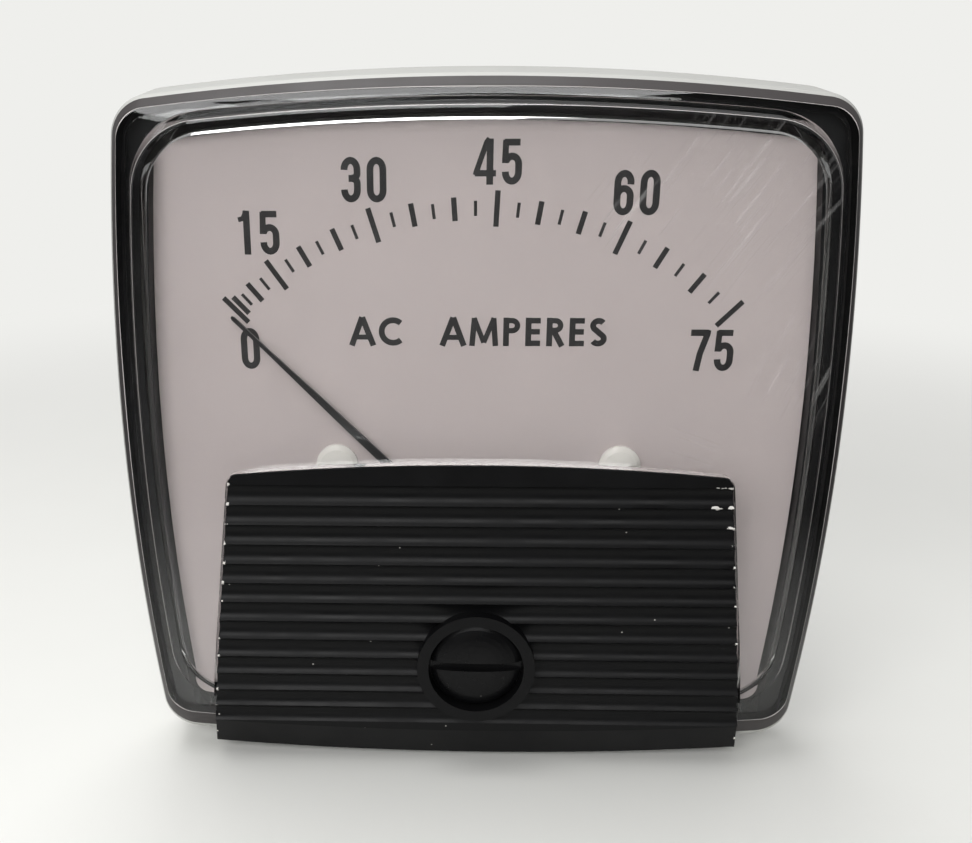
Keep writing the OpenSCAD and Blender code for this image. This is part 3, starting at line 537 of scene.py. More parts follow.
class METER_OT_dial_finish(bpy.types.Operator):
    """Finish the dial plate and its two screws"""

    bl_idname = "meter.dial_finish"
    bl_label = "Dial and dial screws"

    def execute(self, context):
        c = context.scene.meter_colours
        # Sprayed satin enamel on aluminium sheet: soft, even, with a faint orange peel
        dress(
            surface("satin_enamel_dial", c.dial, 0.5, grain_mm=0.5, bump=0.12, mottle=0.025),
            "dial_plate",
        )
        # Glossy white enamel baked on steel: bright, with small highlights
        dress(
            surface(
                "baked_white_enamel", c.screw, 0.25, grain_mm=0.6, bump=0.08, mottle=0.03, coat=0.3
            ),
            "dial_screw_left", "dial_screw_right",
        )
        return {"FINISHED"}


# ---------------------------------------------------------------- clear cover

# Sizes in millimetres from here on; heights are measured forward from the panel
SIDE_BOW, BOTTOM_BOW = 430.0, 600.0
HALF_WIDTH, BODY_TOP, BODY_BOTTOM = COVER_HIGH.x / MM, COVER_HIGH.z / MM, -COVER_LOW.z / MM
WINDOW_FACE = -COVER_LOW.y / MM
WINDOW_HALF, WINDOW_TOP, WINDOW_BOTTOM, WINDOW_CORNER = 53.8, 72.1, 28.6, 11.0
BODY_CORNER = 7.0
WALL = 2.2
SIDE_WALL, DRAFT = 12.0, 0.55
BEVEL_RUN, BEVEL_RISE, BOTTOM_BEVEL = 2.3, 3.4, 5.4
RISER_RUN = 1.2
FACE_CURVE_START, FACE_CURVE = 12.0, 90.0
BACK_EDGE, LIP_RISE, FACE_THICK = 0.3, 0.7, 2.5
WINDOW_SINK = 0.3
MASK_TOP, MASK_TOP_HALF, MASK_BOTTOM_HALF, MASK_CORNER = 17.6, 40.5, 47.3, 1.8
MASK_SLOPE = (MASK_BOTTOM_HALF - MASK_TOP_HALF) / (MASK_TOP + BODY_BOTTOM)
MASK_GAP = 0.2
RIM_SMOOTH = 28
# Finishes of the cover, by slot, the fourth being a painted highlight on eased edges, and how many
# eased bands from the window's face back stay clear
CLEAR, ETCHED_SIDE, ETCHED_BEVEL, EDGE_HIGHLIGHT, ENAMEL = range(5)
CLEAR_BANDS = 12


def meet(a, ra, b, rb, side):
    """Meeting point of two circles, on the side that side picks."""
    d = (b - a).length
    u = (b - a) / d
    t = (ra * ra - rb * rb + d * d) / (2 * d)
    return a + u * t + Vector((-u.y, u.x)) * side * math.sqrt(ra * ra - t * t)


def heading(v):
    """Direction of a vector, in degrees from the right."""
    return math.degrees(math.atan2(v.y, v.x))


def arc(centre, radius, start, end, steps, first=1):
    """Points on an arc between two directions in degrees, from the given step on."""
    turns = [math.radians(start + (end - start) * i / steps) for i in range(first, steps + 1)]
    return [centre + Vector((math.cos(a), math.sin(a))) * radius for a in turns]


def mirrored(half):
    """A closed outline from its right half, whose last point is on the middle line."""
    return half + [Vector((-p.x, p.y)) for p in half[-2::-1]]


def bowed_outline(hw, top, bot, side_bow, low_bow, corner):
    """Closed bowed rectangle with round corners, from the bottom middle round to the right."""
    end_steps, corner_steps, side_steps = 24, 14, 48
    mid = (top - bot) / 2
    # Centres of the side's, the top's and the bottom's bow, then of both corners
    cs, ct = Vector((hw - side_bow, mid)), Vector((0, top - side_bow))
    cb = Vector((0, low_bow - bot))
    tr = meet(cs, side_bow - corner, ct, side_bow - corner, 1)
    br = meet(cs, side_bow - corner, cb, low_bow - corner, -1)
    turns = [heading(br - cb), heading(br - cs), heading(tr - cs), heading(tr - ct)]
    half = arc(cb, low_bow, -90, turns[0], end_steps, 0)
    half += arc(br, corner, turns[0], turns[1], corner_steps)
    half += arc(cs, side_bow, turns[1], turns[2], side_steps)
    half += arc(tr, corner, turns[2], turns[3], corner_steps)
    half += arc(ct, side_bow, turns[3], 90, end_steps)
    return mirrored(half)[:-1]


def face_height(z):
    """Height of the window face, which curves back towards the bottom edge."""
    past = min(0, FACE_CURVE_START + z)
    return WINDOW_FACE - past**2 / (2 * FACE_CURVE)


def body_ring(g, run, low_run, h):
    """Body outline at a height, drawn in by g all round, by run above and by low_run below."""
    side, low = g + run, g + low_run
    pts = bowed_outline(
        HALF_WIDTH - side, BODY_TOP - side, BODY_BOTTOM - low, SIDE_BOW - side, BOTTOM_BOW - low,
        BODY_CORNER - side,
    )
    return np.array([(p.x, p.y, h) for p in pts])


def window_ring(g, h, sink):
    """Window outline at a height, drawn in by g, that follows the face by the share sink."""
    pts = bowed_outline(
        WINDOW_HALF - g, WINDOW_TOP - g, WINDOW_BOTTOM - g, SIDE_BOW - g, BOTTOM_BOW - g,
        WINDOW_CORNER - g,
    )
    return np.array([(p.x, p.y, h - sink * (WINDOW_FACE - face_height(p.y))) for p in pts])


def eased(rings, radius):
    """The same stack of rings with each inner bend rounded by about the radius, in five rings."""
    out = [rings[0]]
    for k in range(1, len(rings) - 1):
        before, here, after = rings[k - 1], rings[k], rings[k + 1]
        back, on = before - here, after - here
        lb, lo = np.linalg.norm(back, axis=1), np.linalg.norm(on, axis=1)
        reach = np.minimum(radius, np.minimum(lb, lo) * 0.45)[:, None]
        a, b = here + back / lb[:, None] * reach, here + on / lo[:, None] * reach
        for t in (0, 0.25, 0.5, 0.75, 1):
            out.append((1 - t) ** 2 * a + 2 * t * (1 - t) * here + t * t * b)
    return out + [rings[-1]]


def cover_solid(name, outer, inner, bands):
    """One closed shell through the outer rings, over the window face and back through the inner.

    bands gives the finish of the outer bands by number. The other outer faces and the riser's
    back are clear, and all behind the rim is black enamel.
    """
    stack = outer + inner
    n = len(stack[0])
    pts = [(x * MM, -h * MM, z * MM) for ring in stack for x, z, h in ring]
    faces, finish = [], []
    for j in range(len(stack) - 1):
        if j == len(outer) - 1:
            continue
        faces += ring_faces(j, j + 1, n)
        finish += [bands.get(j, CLEAR) if j < len(outer) + CLEAR_BANDS else ENAMEL] * n
    faces += ring_faces(0, len(stack) - 1, n)
    finish += [ENAMEL] * n
    for base in ((len(outer) - 1) * n, len(outer) * n):
        for i in range(n // 2):
            quad = [base + (n - i) % n, base + i, base + i + 1, base + n - i - 1]
            faces.append(tuple(dict.fromkeys(quad)))
            finish.append(CLEAR)
    data = bpy.data.meshes.new(name)
    data.from_pydata(pts, [], faces)
    data.polygons.foreach_set("material_index", finish)
    data.validate()
    face_out(data)
    return shown(name, data)


def notch_outline(g):
    """Outline of the cut-out that the mask fills, grown by g; it runs past the bottom edge."""
    a = math.atan(MASK_SLOPE)
    n = Vector((math.cos(a), math.sin(a)))
    c0 = Vector((0, MASK_TOP + g - SIDE_BOW))
    d = n.dot(Vector((MASK_TOP_HALF, MASK_TOP - 1.9))) + g
    rc = MASK_CORNER + g
    t = math.asin((d - rc - n.dot(c0)) / (SIDE_BOW - rc)) - a
    c = c0 + Vector((math.sin(t), math.cos(t))) * (SIDE_BOW - rc)
    low = -BODY_BOTTOM - 5
    side = Vector(((d - n.y * low) / n.x, low))
    top = heading(c - c0)
    return mirrored([side] + arc(c, rc, heading(n), top, 10, 0) + arc(c0, SIDE_BOW, top, 90, 24))


def cut_out(shell, outline, edge):
    """Takes the mask's opening out of the cover and leaves its cut edge in one finish."""
    n, behind, ahead = len(outline), 0.002, -0.03
    pts = [(p.x * MM, y, p.y * MM) for y in (behind, ahead) for p in outline]
    faces = [tuple(range(n)), tuple(reversed(range(n, 2 * n)))]
    faces += [(i, i + n, (i + 1) % n + n, (i + 1) % n) for i in range(n)]
    data = bpy.data.meshes.new("opening")
    data.from_pydata(pts, [], faces)
    face_out(data)
    data.materials.append(edge)
    cutter = shown("opening", data)
    step = shell.modifiers.new("opening", "BOOLEAN")
    step.operation, step.object, step.solver = "DIFFERENCE", cutter, "EXACT"
    bpy.context.view_layer.update()
    result = bpy.data.meshes.new_from_object(
        shell.evaluated_get(bpy.context.evaluated_depsgraph_get())
    )
    shell.modifiers.clear()
    shell.data = result
    bpy.data.objects.remove(cutter)


def clear_plastic():
    """Injection-moulded clear acrylic: glossy, faintly rippled, scuffed near one corner."""
    c = bpy.context.scene.meter_colours
    made, tree, out = blank("moulded_clear_acrylic")
    place = add(tree, "ShaderNodeTexCoord").outputs["Object"]
    ripple = add(
        tree, "ShaderNodeTexNoise", {"Scale": 1 / (9 * MM), "Detail": 1.0}, {"Vector": place}
    )
    relief = add(
        tree, "ShaderNodeBump", {"Strength": 0.05, "Distance": 0.03 * MM}, {"Height": ripple}
    )
    glass = add(
        tree,
        "ShaderNodeBsdfPrincipled",
        {"Base Color": (*c.cover, 1), "Transmission Weight": 1.0, "IOR": 1.49, "Roughness": 0.02},
        {"Normal": relief},
    )
    haze = add(tree, "ShaderNodeBsdfPrincipled", {"Base Color": paint("#f4f2f0"), "Roughness": 0.6})
    worn = scuff_mask(tree, place)
    mixed = add(tree, "ShaderNodeMixShader", links={0: worn, 1: glass, 2: haze})
    lamp = add(tree, "ShaderNodeBsdfTransparent", {"Color": (0.9, 0.9, 0.9, 1)})
    path = add(tree, "ShaderNodeLightPath")
    both = add(
        tree, "ShaderNodeMixShader", links={0: path.outputs["Is Shadow Ray"], 1: mixed, 2: lamp}
    )
    tree.links.new(both.outputs[0], out.inputs["Surface"])
    return made


# Y of the window's and the mask's worn faces
WORN_FACE = -19.6
# Size of the streaks' noise in metres: long along the streaks and fine across them
STREAK_SIZE = (1 / 70, 1 / 70, 1 / 1500)


def scuff_mask(tree, place):
    """Share of each spot that is scuffed white: streaks across the upper right of the window."""
    total = None
    # Middle of each patch right and up, its reach, the streaks' turn and how white they are
    for right, up, reach, turn, strength in (
        (41, 60, 20 * MM, 0.95, 0.13),
        (23, 58, 9 * MM, 0.95, 0.3),
        (50, 34, 12 * MM, 1.2, 0.12),
        (33, 20, 7 * MM, -0.35, 0.12),
    ):
        centre = (right * MM, WORN_FACE * MM, up * MM)
        away = add(tree, "ShaderNodeVectorMath", {1: centre}, {0: place}, operation="DISTANCE")
        near = add(
            tree, "ShaderNodeMapRange", {"From Min": reach, "From Max": reach * 0.2},
            {"Value": away.outputs["Value"]}, interpolation_type="SMOOTHSTEP",
        )
        turned = add(
            tree, "ShaderNodeMapping", {"Rotation": (0, -turn, 0), "Scale": STREAK_SIZE},
            {"Vector": place}, vector_type="TEXTURE",
        )
        streaks = add(tree, "ShaderNodeTexNoise", {"Scale": 1.0, "Detail": 3.0}, {"Vector": turned})
        sharp = add(
            tree, "ShaderNodeMapRange", {"From Min": 0.56, "From Max": 0.7, "To Max": strength},
            {"Value": streaks},
        )
        part = add(tree, "ShaderNodeMath", links={0: near, 1: sharp}, operation="MULTIPLY")
        total = part if total is None else add(
            tree, "ShaderNodeMath", links={0: total, 1: part}, operation="MAXIMUM"
        )
    # Only the window's outer face is scuffed
    depth = add(tree, "ShaderNodeSeparateXYZ", links={0: place})
    front = add(
        tree, "ShaderNodeMapRange",
        {"From Min": -(WINDOW_FACE - 0.9) * MM, "From Max": -(WINDOW_FACE - 0.3) * MM},
        {"Value": depth.outputs["Y"]},
    )
    return add(tree, "ShaderNodeMath", links={0: total, 1: front}, operation="MULTIPLY")


class METER_OT_clear_cover(bpy.types.Operator):
    """Build the moulded clear cover with eased edges, in place of the plain solid"""

    bl_idname = "meter.clear_cover"
    bl_label = "Clear cover"
    edge_ease = 0.35

    def execute(self, context):
        shelf, under = SIDE_WALL + BEVEL_RISE, WINDOW_FACE - FACE_THICK
        # From the back edge along the side wall, the lip, the bevel and the riser to the window
        outer = [
            body_ring(0, 0, 0, BACK_EDGE),
            body_ring(0, DRAFT, DRAFT, SIDE_WALL),
            body_ring(0, DRAFT + 0.35, DRAFT + 0.8, SIDE_WALL + LIP_RISE),
            body_ring(0, BEVEL_RUN, BOTTOM_BEVEL, shelf),
            window_ring(-RISER_RUN, shelf + 0.2, WINDOW_SINK),
            window_ring(-0.15, WINDOW_FACE - 0.5, 1),
            window_ring(0.3, WINDOW_FACE, 1),
        ]
        # The same way back inside the walls
        inner = [
            window_ring(2.0, under, 1),
            window_ring(1.6, under - 0.4, 1),
            window_ring(1.6 - RISER_RUN, shelf - WALL + 0.2, WINDOW_SINK),
            body_ring(WALL, 1.2, BOTTOM_BEVEL - 1.6, shelf - WALL),
            body_ring(WALL, DRAFT, DRAFT, SIDE_WALL - 0.6),
            body_ring(WALL, 0, 0, BACK_EDGE),
        ]
        # Bands of faces between the eased rings, counted from the back edge
        bands = {j: ETCHED_SIDE for j in range(10)} | {j: ETCHED_BEVEL for j in range(10, 13)}
        # Bands 13 and 23, at the foot of the riser and on the window's front edge, are painted
        # highlight lines
        bands |= {13: EDGE_HIGHLIGHT, 23: EDGE_HIGHLIGHT}
        shell = cover_solid(
            "clear_cover", eased(outer, self.edge_ease), eased(inner, self.edge_ease), bands
        )
        clear = clear_plastic()
        finishes = (
            clear,
            # Etched side wall: pale and milky
            surface(
                "etched_acrylic_side", paint("#b4b4b0"), 0.5, grain_mm=0.35, bump=0.25, mottle=0.05
            ),
            # Etched bevel with black behind it: a dull dark grey
            surface(
                "etched_acrylic_bevel", paint("#3a3636"), 0.5, grain_mm=0.3, bump=0.25, mottle=0.1,
                gloss=0.3,
            ),
            # Painted highlight: pale bands on two eased edges stand in for the light they catch
            surface(
                "acrylic_edge_painted_highlight", paint("#c4bfbd"), 0.4, grain_mm=0.5, bump=0.2, mottle=0.4
            ),
            # Black enamel sprayed inside the rim: deep and even behind the clear plastic
            surface("sprayed_black_enamel", paint("#0b0a0b"), 0.6, grain_mm=0.3, bump=0.02),
        )
        for finish in finishes:
            shell.data.materials.append(finish)
        cut_out(shell, notch_outline(MASK_GAP), clear)
        smooth_below(shell.data, RIM_SMOOTH)
        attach(shell, "case")
        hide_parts("front_cover")
        return {"FINISHED"}


# ---------------------------------------------------------------- black mouldings


TOP_RIDGE, RIDGE_PITCH = 14.2, 3.5
# Where the mask's white marks reach furthest: chips by the upper right corner, beside the painted
# glints
CHIP_AND_GLINT_CORNER = (40.5, WORN_FACE, 11)


def black_moulding(name, roughness, chips_and_glints):
    """Compression-moulded black phenolic with dust and, where asked, white marks on its ridge ends:
    painted glints, with chips by one corner.
    """
    c = bpy.context.scene.meter_colours
    made, tree, out = blank(name)
    place = add(tree, "ShaderNodeTexCoord").outputs["Object"]
    coarse = add(
        tree, "ShaderNodeTexNoise", {"Scale": 1 / (7 * MM), "Detail": 4.0}, {"Vector": place}
    )
    fine = add(
        tree, "ShaderNodeTexNoise", {"Scale": 1 / (0.25 * MM), "Detail": 2.0}, {"Vector": place}
    )
    specks = add(
        tree, "ShaderNodeTexVoronoi", {"Scale": 1 / (4.5 * MM), "Randomness": 1.0},
        {"Vector": place},
    )
    marks = add(
        tree, "ShaderNodeMapRange", {"From Min": 0.035, "From Max": 0.02, "To Max": 0.7},
        {"Value": specks.outputs["Distance"]},
    )
    if chips_and_glints:
        # Painted glints where each ridge meets the mask's edge, longer beside the upper right
        # corner, where they are chips
        spot = add(tree, "ShaderNodeSeparateXYZ", links={0: place})
        aside = add(tree, "ShaderNodeMath", links={0: spot.outputs["X"]}, operation="ABSOLUTE")
        side = add(
            tree, "ShaderNodeMath",
            {1: -MASK_SLOPE, 2: (MASK_TOP_HALF + MASK_SLOPE * MASK_TOP) * MM},
            {0: spot.outputs["Z"]}, operation="MULTIPLY_ADD",
        )
        inset = add(tree, "ShaderNodeMath", links={0: side, 1: aside}, operation="SUBTRACT")
        corner = add(
            tree, "ShaderNodeVectorMath", {1: [v * MM for v in CHIP_AND_GLINT_CORNER]}, {0: place},
            operation="DISTANCE",
        )
        reach = add(
            tree, "ShaderNodeMapRange",
            {"From Min": 7 * MM, "From Max": 3 * MM, "To Min": 0.7 * MM, "To Max": 4.0 * MM},
            {"Value": corner.outputs["Value"]},
        )
        edge = add(tree, "ShaderNodeMath", links={0: inset, 1: reach}, operation="LESS_THAN")
        height = add(
            tree, "ShaderNodeMath", {1: TOP_RIDGE * MM}, {0: spot.outputs["Z"]},
            operation="SUBTRACT",
        )
        ridge = add(
            tree, "ShaderNodeMath", {1: RIDGE_PITCH / 2 * MM}, {0: height}, operation="PINGPONG"
        )
        nick_and_glint_noise = add(
            tree, "ShaderNodeTexNoise", {"Scale": 1 / (1.3 * MM), "Detail": 3.0}, {"Vector": place}
        )
        deep = add(
            tree, "ShaderNodeMapRange",
            {"From Min": 0.46, "From Max": 0.72, "To Min": -0.05 * MM, "To Max": 0.65 * MM},
            {"Value": nick_and_glint_noise},
        )
        struck = add(tree, "ShaderNodeMath", links={0: ridge, 1: deep}, operation="LESS_THAN")
        chip_and_glint = add(tree, "ShaderNodeMath", links={0: edge, 1: struck}, operation="MULTIPLY")
        marks = add(tree, "ShaderNodeMath", links={0: marks, 1: chip_and_glint}, operation="MAXIMUM")
    shade = add(tree, "ShaderNodeMix", ranged(c.moulding, 0.7, 1.5), {0: coarse}, data_type="RGBA")
    # White of the dust specks, the chips and the painted glints
    colour = add(
        tree, "ShaderNodeMix", {7: paint("#d8d5d0")}, {0: marks, 6: shade.outputs[2]},
        data_type="RGBA",
    )
    rough = add(
        tree, "ShaderNodeMapRange",
        EVEN_NOISE | {"To Min": roughness - 0.06, "To Max": roughness + 0.1}, {"Value": coarse},
    )
    relief = add(tree, "ShaderNodeBump", {"Strength": 0.2, "Distance": 0.04 * MM}, {"Height": fine})
    shader = add(
        tree, "ShaderNodeBsdfPrincipled", {"IOR": 1.55, "Specular IOR Level": 0.12},
        {"Base Color": colour.outputs[2], "Roughness": rough, "Normal": relief},
    )
    tree.links.new(shader.outputs[0], out.inputs["Surface"])
    return made


class METER_OT_black_mouldings(bpy.types.Operator):
    """Finish the base, the fluted mask, the movement's frame and the zero adjuster"""

    bl_idname = "meter.black_mouldings"
    bl_label = "Black mouldings"

    def execute(self, context):
        # The mask carries the chips and the painted glints on its ridge ends
        dress(black_moulding("moulded_black_phenolic_mask", 0.4, True), "lower_mask")
        dress(black_moulding("moulded_black_phenolic_knob", 0.26, False), "adjuster_head")
        dress(black_moulding("moulded_black_phenolic_base", 0.42, False), "base", "movement_frame")
        return {"FINISHED"}


# ---------------------------------------------------------------- movement and hardware


class METER_OT_movement(bpy.types.Operator):
    """Finish the pointer and the movement behind the dial and the mask"""

    bl_idname = "meter.movement"
    bl_label = "Pointer and movement"

    def execute(self, context):
        c = context.scene.meter_colours
        # Stamped aluminium strip with black lacquer: thin, even and slightly glossy
        dress(
            surface(
                "black_lacquered_aluminium", paint("#111012"), 0.35, grain_mm=0.5, bump=0.05,
                mottle=0.2, coat=0.3,
            ),
            "pointer",
        )
        # Turned brass: warm metal with fine uneven polish
        dress(
            surface("turned_brass", c.brass, 0.3, 1.0, grain_mm=0.5, bump=0.12), "pointer_hub",
            "spring_collet", "front_bridge", "rear_bridge", "front_jewel_nut", "rear_jewel_nut",
            "zero_lever", "balance_weights",
        )
        # Rolled phosphor bronze ribbon: darker, smoother and glossier than the brass
        dress(
            surface("rolled_phosphor_bronze", paint("#a9814a"), 0.22, 1.0, grain_mm=0.3, bump=0.05),
            "hairspring",
        )
        # Bright drawn aluminium vane
        dress(
            surface("rolled_aluminium", paint("#d4d5d6"), 0.3, 1.0, grain_mm=0.4, bump=0.1),
            "damping_vane",
        )
        # Annealed soft iron: grey, dull, faintly blotched
        dress(
            surface("annealed_soft_iron", paint("#77787a"), 0.45, 1.0, grain_mm=0.6, bump=0.2),
            "moving_vane", "fixed_vane", "damping_magnet",
        )
        # Vulcanised fibre: dry buff sheet with a fine fibrous mottle
        dress(
            surface("vulcanised_fibre", paint("#cdbf9b"), 0.7, grain_mm=0.5, bump=0.3, mottle=0.1),
            "coil_former",
        )
        # Enamelled copper wire laid in close turns: glossy red-brown, with painted shade darkening
        # the grooves between turns
        dress(wound_wire(), "coil_winding")
        # Ground and polished steel
        dress(
            surface("polished_steel", paint("#c2c3c6"), 0.18, 1.0, grain_mm=0.3, bump=0.04),
            "spindle", "front_jewel_screw", "rear_jewel_screw", "pointer_stops",
            "rear_bridge_screws", "frame_screws", "adjuster_clip",
        )
        return {"FINISHED"}


def wound_wire():
    """Enamelled copper wire in close turns along the coil."""
    turn, bands_per_unit = 0.9 * MM, 20 / 6.4
    made, tree, out = blank("enamelled_copper_wire")
    place = add(tree, "ShaderNodeTexCoord").outputs["Object"]
    turns = add(
        tree, "ShaderNodeTexWave", {"Scale": 1 / turn / bands_per_unit}, {"Vector": place},
        bands_direction="Y",
    )
    # Painted shade: the colour darkens with the bump into the grooves between turns
    shade = add(
        tree, "ShaderNodeMix", {6: paint("#5a2411"), 7: paint("#a9552b")},
        {0: turns.outputs["Fac"]}, data_type="RGBA",
    )
    relief = add(
        tree, "ShaderNodeBump", {"Strength": 0.8, "Distance": 0.3 * MM},
        {"Height": turns.outputs["Fac"]},
    )
    shader = add(
        tree, "ShaderNodeBsdfPrincipled", {"Roughness": 0.25, "Coat Weight": 0.6, "Metallic": 0.3},
        {"Base Color": shade.outputs[2], "Normal": relief},
    )
    tree.links.new(shader.outputs[0], out.inputs["Surface"])
    return made


def threaded_rod(name, centre, root, tip, radius, pitch, material, node, plain=()):
    """A threaded rod along the barrel's axis, from root to tip, with a pointed tip.

    plain gives the turned part before the thread as (radius, y) pairs.
    """
    around, rows_per_turn, depth, crest, run_in = 32, 8, pitch * 0.55, 0.15, 0.35
    steps = int((tip - root) / pitch * rows_per_turn)
    rows = [[(r, y)] * around for r, y in plain]
    for k in range(steps + 1):
        y = root + (tip - root) * k / steps
        row = []
        for i in range(around):
            phase = ((y - root) / pitch - i / around) % 1
            r = radius - depth * abs(2 * phase - 1)
            r = min(r, radius - depth * crest)
            end = min(1.0, (tip - y) / pitch, (y - root) / pitch + run_in)
            row.append((min(r, radius - depth * (1 - end)), y))
        rows.append(row)
    pts, faces = [], []
    for row in rows:
        for i, (r, y) in enumerate(row):
            a = 2 * math.pi * i / around
            pts.append((centre[0] + r * math.cos(a), y, centre[1] + r * math.sin(a)))
    for j in range(len(rows) - 1):
        faces += ring_faces(j, j + 1, around)
    faces.append(tuple(range(around)))
    faces.append(tuple(reversed(range((len(rows) - 1) * around, len(rows) * around))))
    made = mesh_piece(name, pts, faces, material, "case", 40)
    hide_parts(node)
    return made


class METER_OT_hardware(bpy.types.Operator):
    """Build the threaded studs and finish the nuts, washers, lugs and leads"""

    bl_idname = "meter.hardware"
    bl_label = "Studs and terminals"

    def execute(self, context):
        c = context.scene.meter_colours
        # Bright zinc plate on steel: cool grey, faint spangle
        zinc = surface("bright_zinc_plate", c.zinc, 0.32, 1.0, grain_mm=0.5, bump=0.15, mottle=0.12)
        brass = surface("machined_brass", c.brass, 0.28, 1.0, grain_mm=0.4, bump=0.1, mottle=0.1)
        for side in ("left", "right"):
            for level in ("upper", "lower"):
                node = f"panel_stud_{level}_{side}"
                low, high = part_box(node)
                mid = ((low.x + high.x) / 2, (low.z + high.z) / 2)
                # Flat head, collar through the base, and shank with a thread behind the panel
                head = (high.x - low.x) / 2
                shank, seat, start = head - 1.8 * MM, low.y + 1.2 * MM, 0.5 * MM
                collar, pitch = shank + 0.7 * MM, 0.8 * MM
                plain = [
                    (head, low.y), (head, seat), (collar, seat), (collar, 0.0), (shank, 0.0),
                    (shank, start),
                ]
                threaded_rod(
                    f"threaded_{node}", mid, start, high.y, shank, pitch, zinc, node,
                    plain,
                )
            node = f"terminal_stud_{side}"
            low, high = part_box(node)
            mid = ((low.x + high.x) / 2, (low.z + high.z) / 2)
            # Lug pin, hexagon and thicker body, with the free thread from the nut's outer face on
            lug, flats, body, thread = 1.6 * MM, (high.z - low.z) / 2, 3.5 * MM, 3.1 * MM
            top, floor, pitch = low.y + 2.4 * MM, low.y + 4.6 * MM, 1.0 * MM
            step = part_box(f"terminal_nut_{side}")[1].y
            plain = [
                (lug, low.y), (lug, top), (flats, top), (flats, floor), (body, floor), (body, step)
            ]
            threaded_rod(
                f"threaded_{node}", mid, step, high.y, thread, pitch, brass, node, plain
            )
            dress(brass, f"terminal_nut_{side}", f"solder_lug_{side}")
            dress(zinc, f"terminal_washer_{side}", f"terminal_lock_washer_{side}")
        # Woven sleeving soaked in red varnish
        dress(
            surface(
                "red_varnished_sleeving", paint("#7a1d18"), 0.55, grain_mm=0.4, bump=0.4,
                mottle=0.15,
            ),
            "lead_left", "lead_right",
        )
        return {"FINISHED"}


# ---------------------------------------------------------------- stage


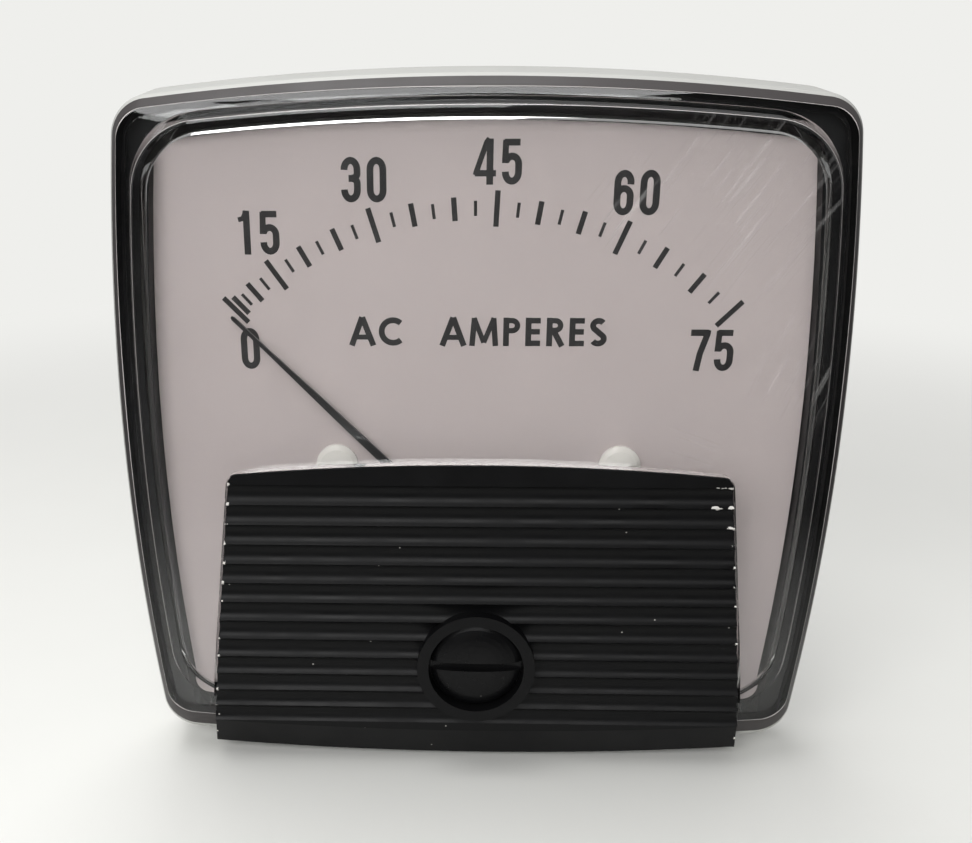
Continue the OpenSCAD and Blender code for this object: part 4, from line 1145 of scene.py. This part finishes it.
class METER_OT_stage(bpy.types.Operator):
    """Set the pale floor, the soft lights and the camera"""

    bl_idname = "meter.stage"
    bl_label = "Studio"
    # Lens in millimetres, shift as a share of the sensor's width
    camera_place = (-3.58 * MM, -201.47 * MM, 81.07 * MM)
    focal = 44.58
    shift = (0.07, 0.11)
    background = tuple(paint("#efefec")[:3])
    # Half the floor's width, its drop below the part, and where it fades and dims, in metres
    half, drop, fade, dimmed = 1.6, 0.15 * MM, (0.16, 0.42), (0.06, 0.19)

    def execute(self, context):
        s = context.scene.meter_stage
        scene = context.scene
        w, z = self.half, CAD_BOX[0][2] - self.drop
        data = bpy.data.meshes.new("studio_floor")
        data.from_pydata([(-w, -w, z), (w, -w, z), (w, w, z), (-w, w, z)], [], [(0, 1, 2, 3)])
        made, tree, out = blank("pale_laminate_floor")
        # Pale laminate table: matte and a little uneven
        place = add(tree, "ShaderNodeTexCoord").outputs["Object"]
        cloud = add(
            tree, "ShaderNodeTexNoise", {"Scale": 1 / (60 * MM), "Detail": 3.0}, {"Vector": place}
        )
        shade = add(tree, "ShaderNodeMix", ranged(s.floor, 0.94, 1), {0: cloud}, data_type="RGBA")
        # Far from the part the floor turns into the plain background, so no horizon shows,
        # and its reflection fades, as a small table's does in a dim room
        away = add(tree, "ShaderNodeVectorMath", links={1: place}, operation="DISTANCE")
        far = add(
            tree, "ShaderNodeMapRange", {"From Min": self.fade[0], "From Max": self.fade[1]},
            {"Value": away.outputs["Value"]}, interpolation_type="SMOOTHSTEP",
        )
        dim = add(
            tree, "ShaderNodeMapRange", {"From Min": self.dimmed[0], "From Max": self.dimmed[1]},
            {"Value": away.outputs["Value"]}, interpolation_type="SMOOTHSTEP",
        )
        path = add(tree, "ShaderNodeLightPath")
        bounced = add(
            tree, "ShaderNodeMix", {7: paint("#3c3c3b")}, {0: dim, 6: shade.outputs[2]},
            data_type="RGBA",
        )
        colour = add(
            tree, "ShaderNodeMix",
            links={0: path.outputs["Is Camera Ray"], 6: bounced.outputs[2], 7: shade.outputs[2]},
            data_type="RGBA",
        )
        matte = add(
            tree, "ShaderNodeBsdfPrincipled", {"Roughness": 0.35}, {"Base Color": colour.outputs[2]}
        )
        share = add(
            tree, "ShaderNodeMath", links={0: far, 1: path.outputs["Is Camera Ray"]},
            operation="MULTIPLY",
        )
        plain = add(tree, "ShaderNodeEmission", {"Color": (*self.background, 1), "Strength": 1.0})
        both = add(tree, "ShaderNodeMixShader", links={0: share, 1: matte, 2: plain})
        tree.links.new(both.outputs[0], out.inputs["Surface"])
        data.materials.append(made)
        floor = shown("studio_floor", data)

        for name, power, size, place, aim in (
            ("top_light", s.key_power, (0.8, 0.3), (-0.12, 0.03, 0.62), (0, 0, 0)),
            ("front_fill", s.fill_power, (0.7, 0.3), (-0.16, -0.62, 0.36), (0, 0, 0.02)),
        ):
            lamp = bpy.data.lights.new(name, "AREA")
            lamp.shape, lamp.size, lamp.size_y = "RECTANGLE", *size
            lamp.energy = power
            made = shown(name, lamp)
            made.location = place
            made.rotation_euler = (Vector(aim) - Vector(place)).to_track_quat("-Z", "Y").to_euler()

        world = bpy.data.worlds.new("studio_world")
        world.use_nodes = True
        tree = world.node_tree
        tree.nodes.clear()
        place = add(tree, "ShaderNodeTexCoord").outputs["Generated"]
        split = add(tree, "ShaderNodeSeparateXYZ", links={0: place})
        back = add(
            tree, "ShaderNodeMapRange",
            {"From Min": -0.6, "From Max": 0.7, "To Min": 0.1, "To Max": 0.5},
            {"Value": split.outputs["Y"]}, interpolation_type="SMOOTHSTEP",
        )
        soft = add(tree, "ShaderNodeBackground", {"Color": (0.9, 0.9, 0.9, 1)}, {"Strength": back})
        seen = add(tree, "ShaderNodeBackground", {"Color": (*self.background, 1), "Strength": 1.0})
        path = add(tree, "ShaderNodeLightPath")
        both = add(
            tree, "ShaderNodeMixShader", links={0: path.outputs["Is Camera Ray"], 1: soft, 2: seen}
        )
        add(tree, "ShaderNodeOutputWorld", links={"Surface": both})
        scene.world = world

        lens = bpy.data.cameras.new("camera")
        lens.sensor_width, lens.sensor_fit, lens.lens = 36, "HORIZONTAL", self.focal
        lens.shift_x, lens.shift_y = self.shift
        lens.clip_start = 0.01
        camera = shown("camera", lens)
        a, e, roll = s.camera_turn, s.camera_tilt, s.camera_roll
        ahead = Vector((-math.sin(a) * math.cos(e), math.cos(a) * math.cos(e), -math.sin(e)))
        right = Vector((math.cos(a), math.sin(a), 0))
        up = right.cross(ahead)
        x = right * math.cos(roll) - up * math.sin(roll)
        y = right * math.sin(roll) + up * math.cos(roll)
        camera.matrix_world = Matrix(
            [[x[i], y[i], -ahead[i], self.camera_place[i]] for i in range(3)] + [[0, 0, 0, 1]]
        )
        scene.camera = camera
        scene.view_settings.view_transform = "Standard"
        return {"FINISHED"}


# ---------------------------------------------------------------- sidebar and run

OPERATORS = (
    METER_OT_stage,
    METER_OT_dial_finish,
    METER_OT_scale_marks,
    METER_OT_scale_numbers,
    METER_OT_unit_words,
    METER_OT_clear_cover,
    METER_OT_black_mouldings,
    METER_OT_movement,
    METER_OT_hardware,
)
SETTINGS = {
    "meter_print": MeterPrintSettings,
    "meter_colours": MeterColourSettings,
    "meter_stage": MeterStageSettings,
}


class METER_PT_sidebar(bpy.types.Panel):
    """Lists the meter's settings and steps"""

    bl_label = "Panel meter"
    bl_idname = "METER_PT_sidebar"
    bl_space_type = "VIEW_3D"
    bl_region_type = "UI"
    bl_category = "Panel meter"

    def draw(self, context):
        column = self.layout.column()
        for step in OPERATORS:
            column.operator(step.bl_idname)
        for key, group in SETTINGS.items():
            box = self.layout.box()
            for name in group.__annotations__:
                box.prop(getattr(context.scene, key), name)


def register():
    for group in (*SETTINGS.values(), *OPERATORS, METER_PT_sidebar):
        bpy.utils.register_class(group)
    for key, group in SETTINGS.items():
        setattr(bpy.types.Scene, key, bpy.props.PointerProperty(type=group))


def unregister():
    for key in SETTINGS:
        delattr(bpy.types.Scene, key)
    for group in (METER_PT_sidebar, *reversed(OPERATORS), *SETTINGS.values()):
        bpy.utils.unregister_class(group)


def main():
    register()
    for step in OPERATORS:
        family, name = step.bl_idname.split(".")
        getattr(getattr(bpy.ops, family), name)()


if __name__ == "__main__":
    main()
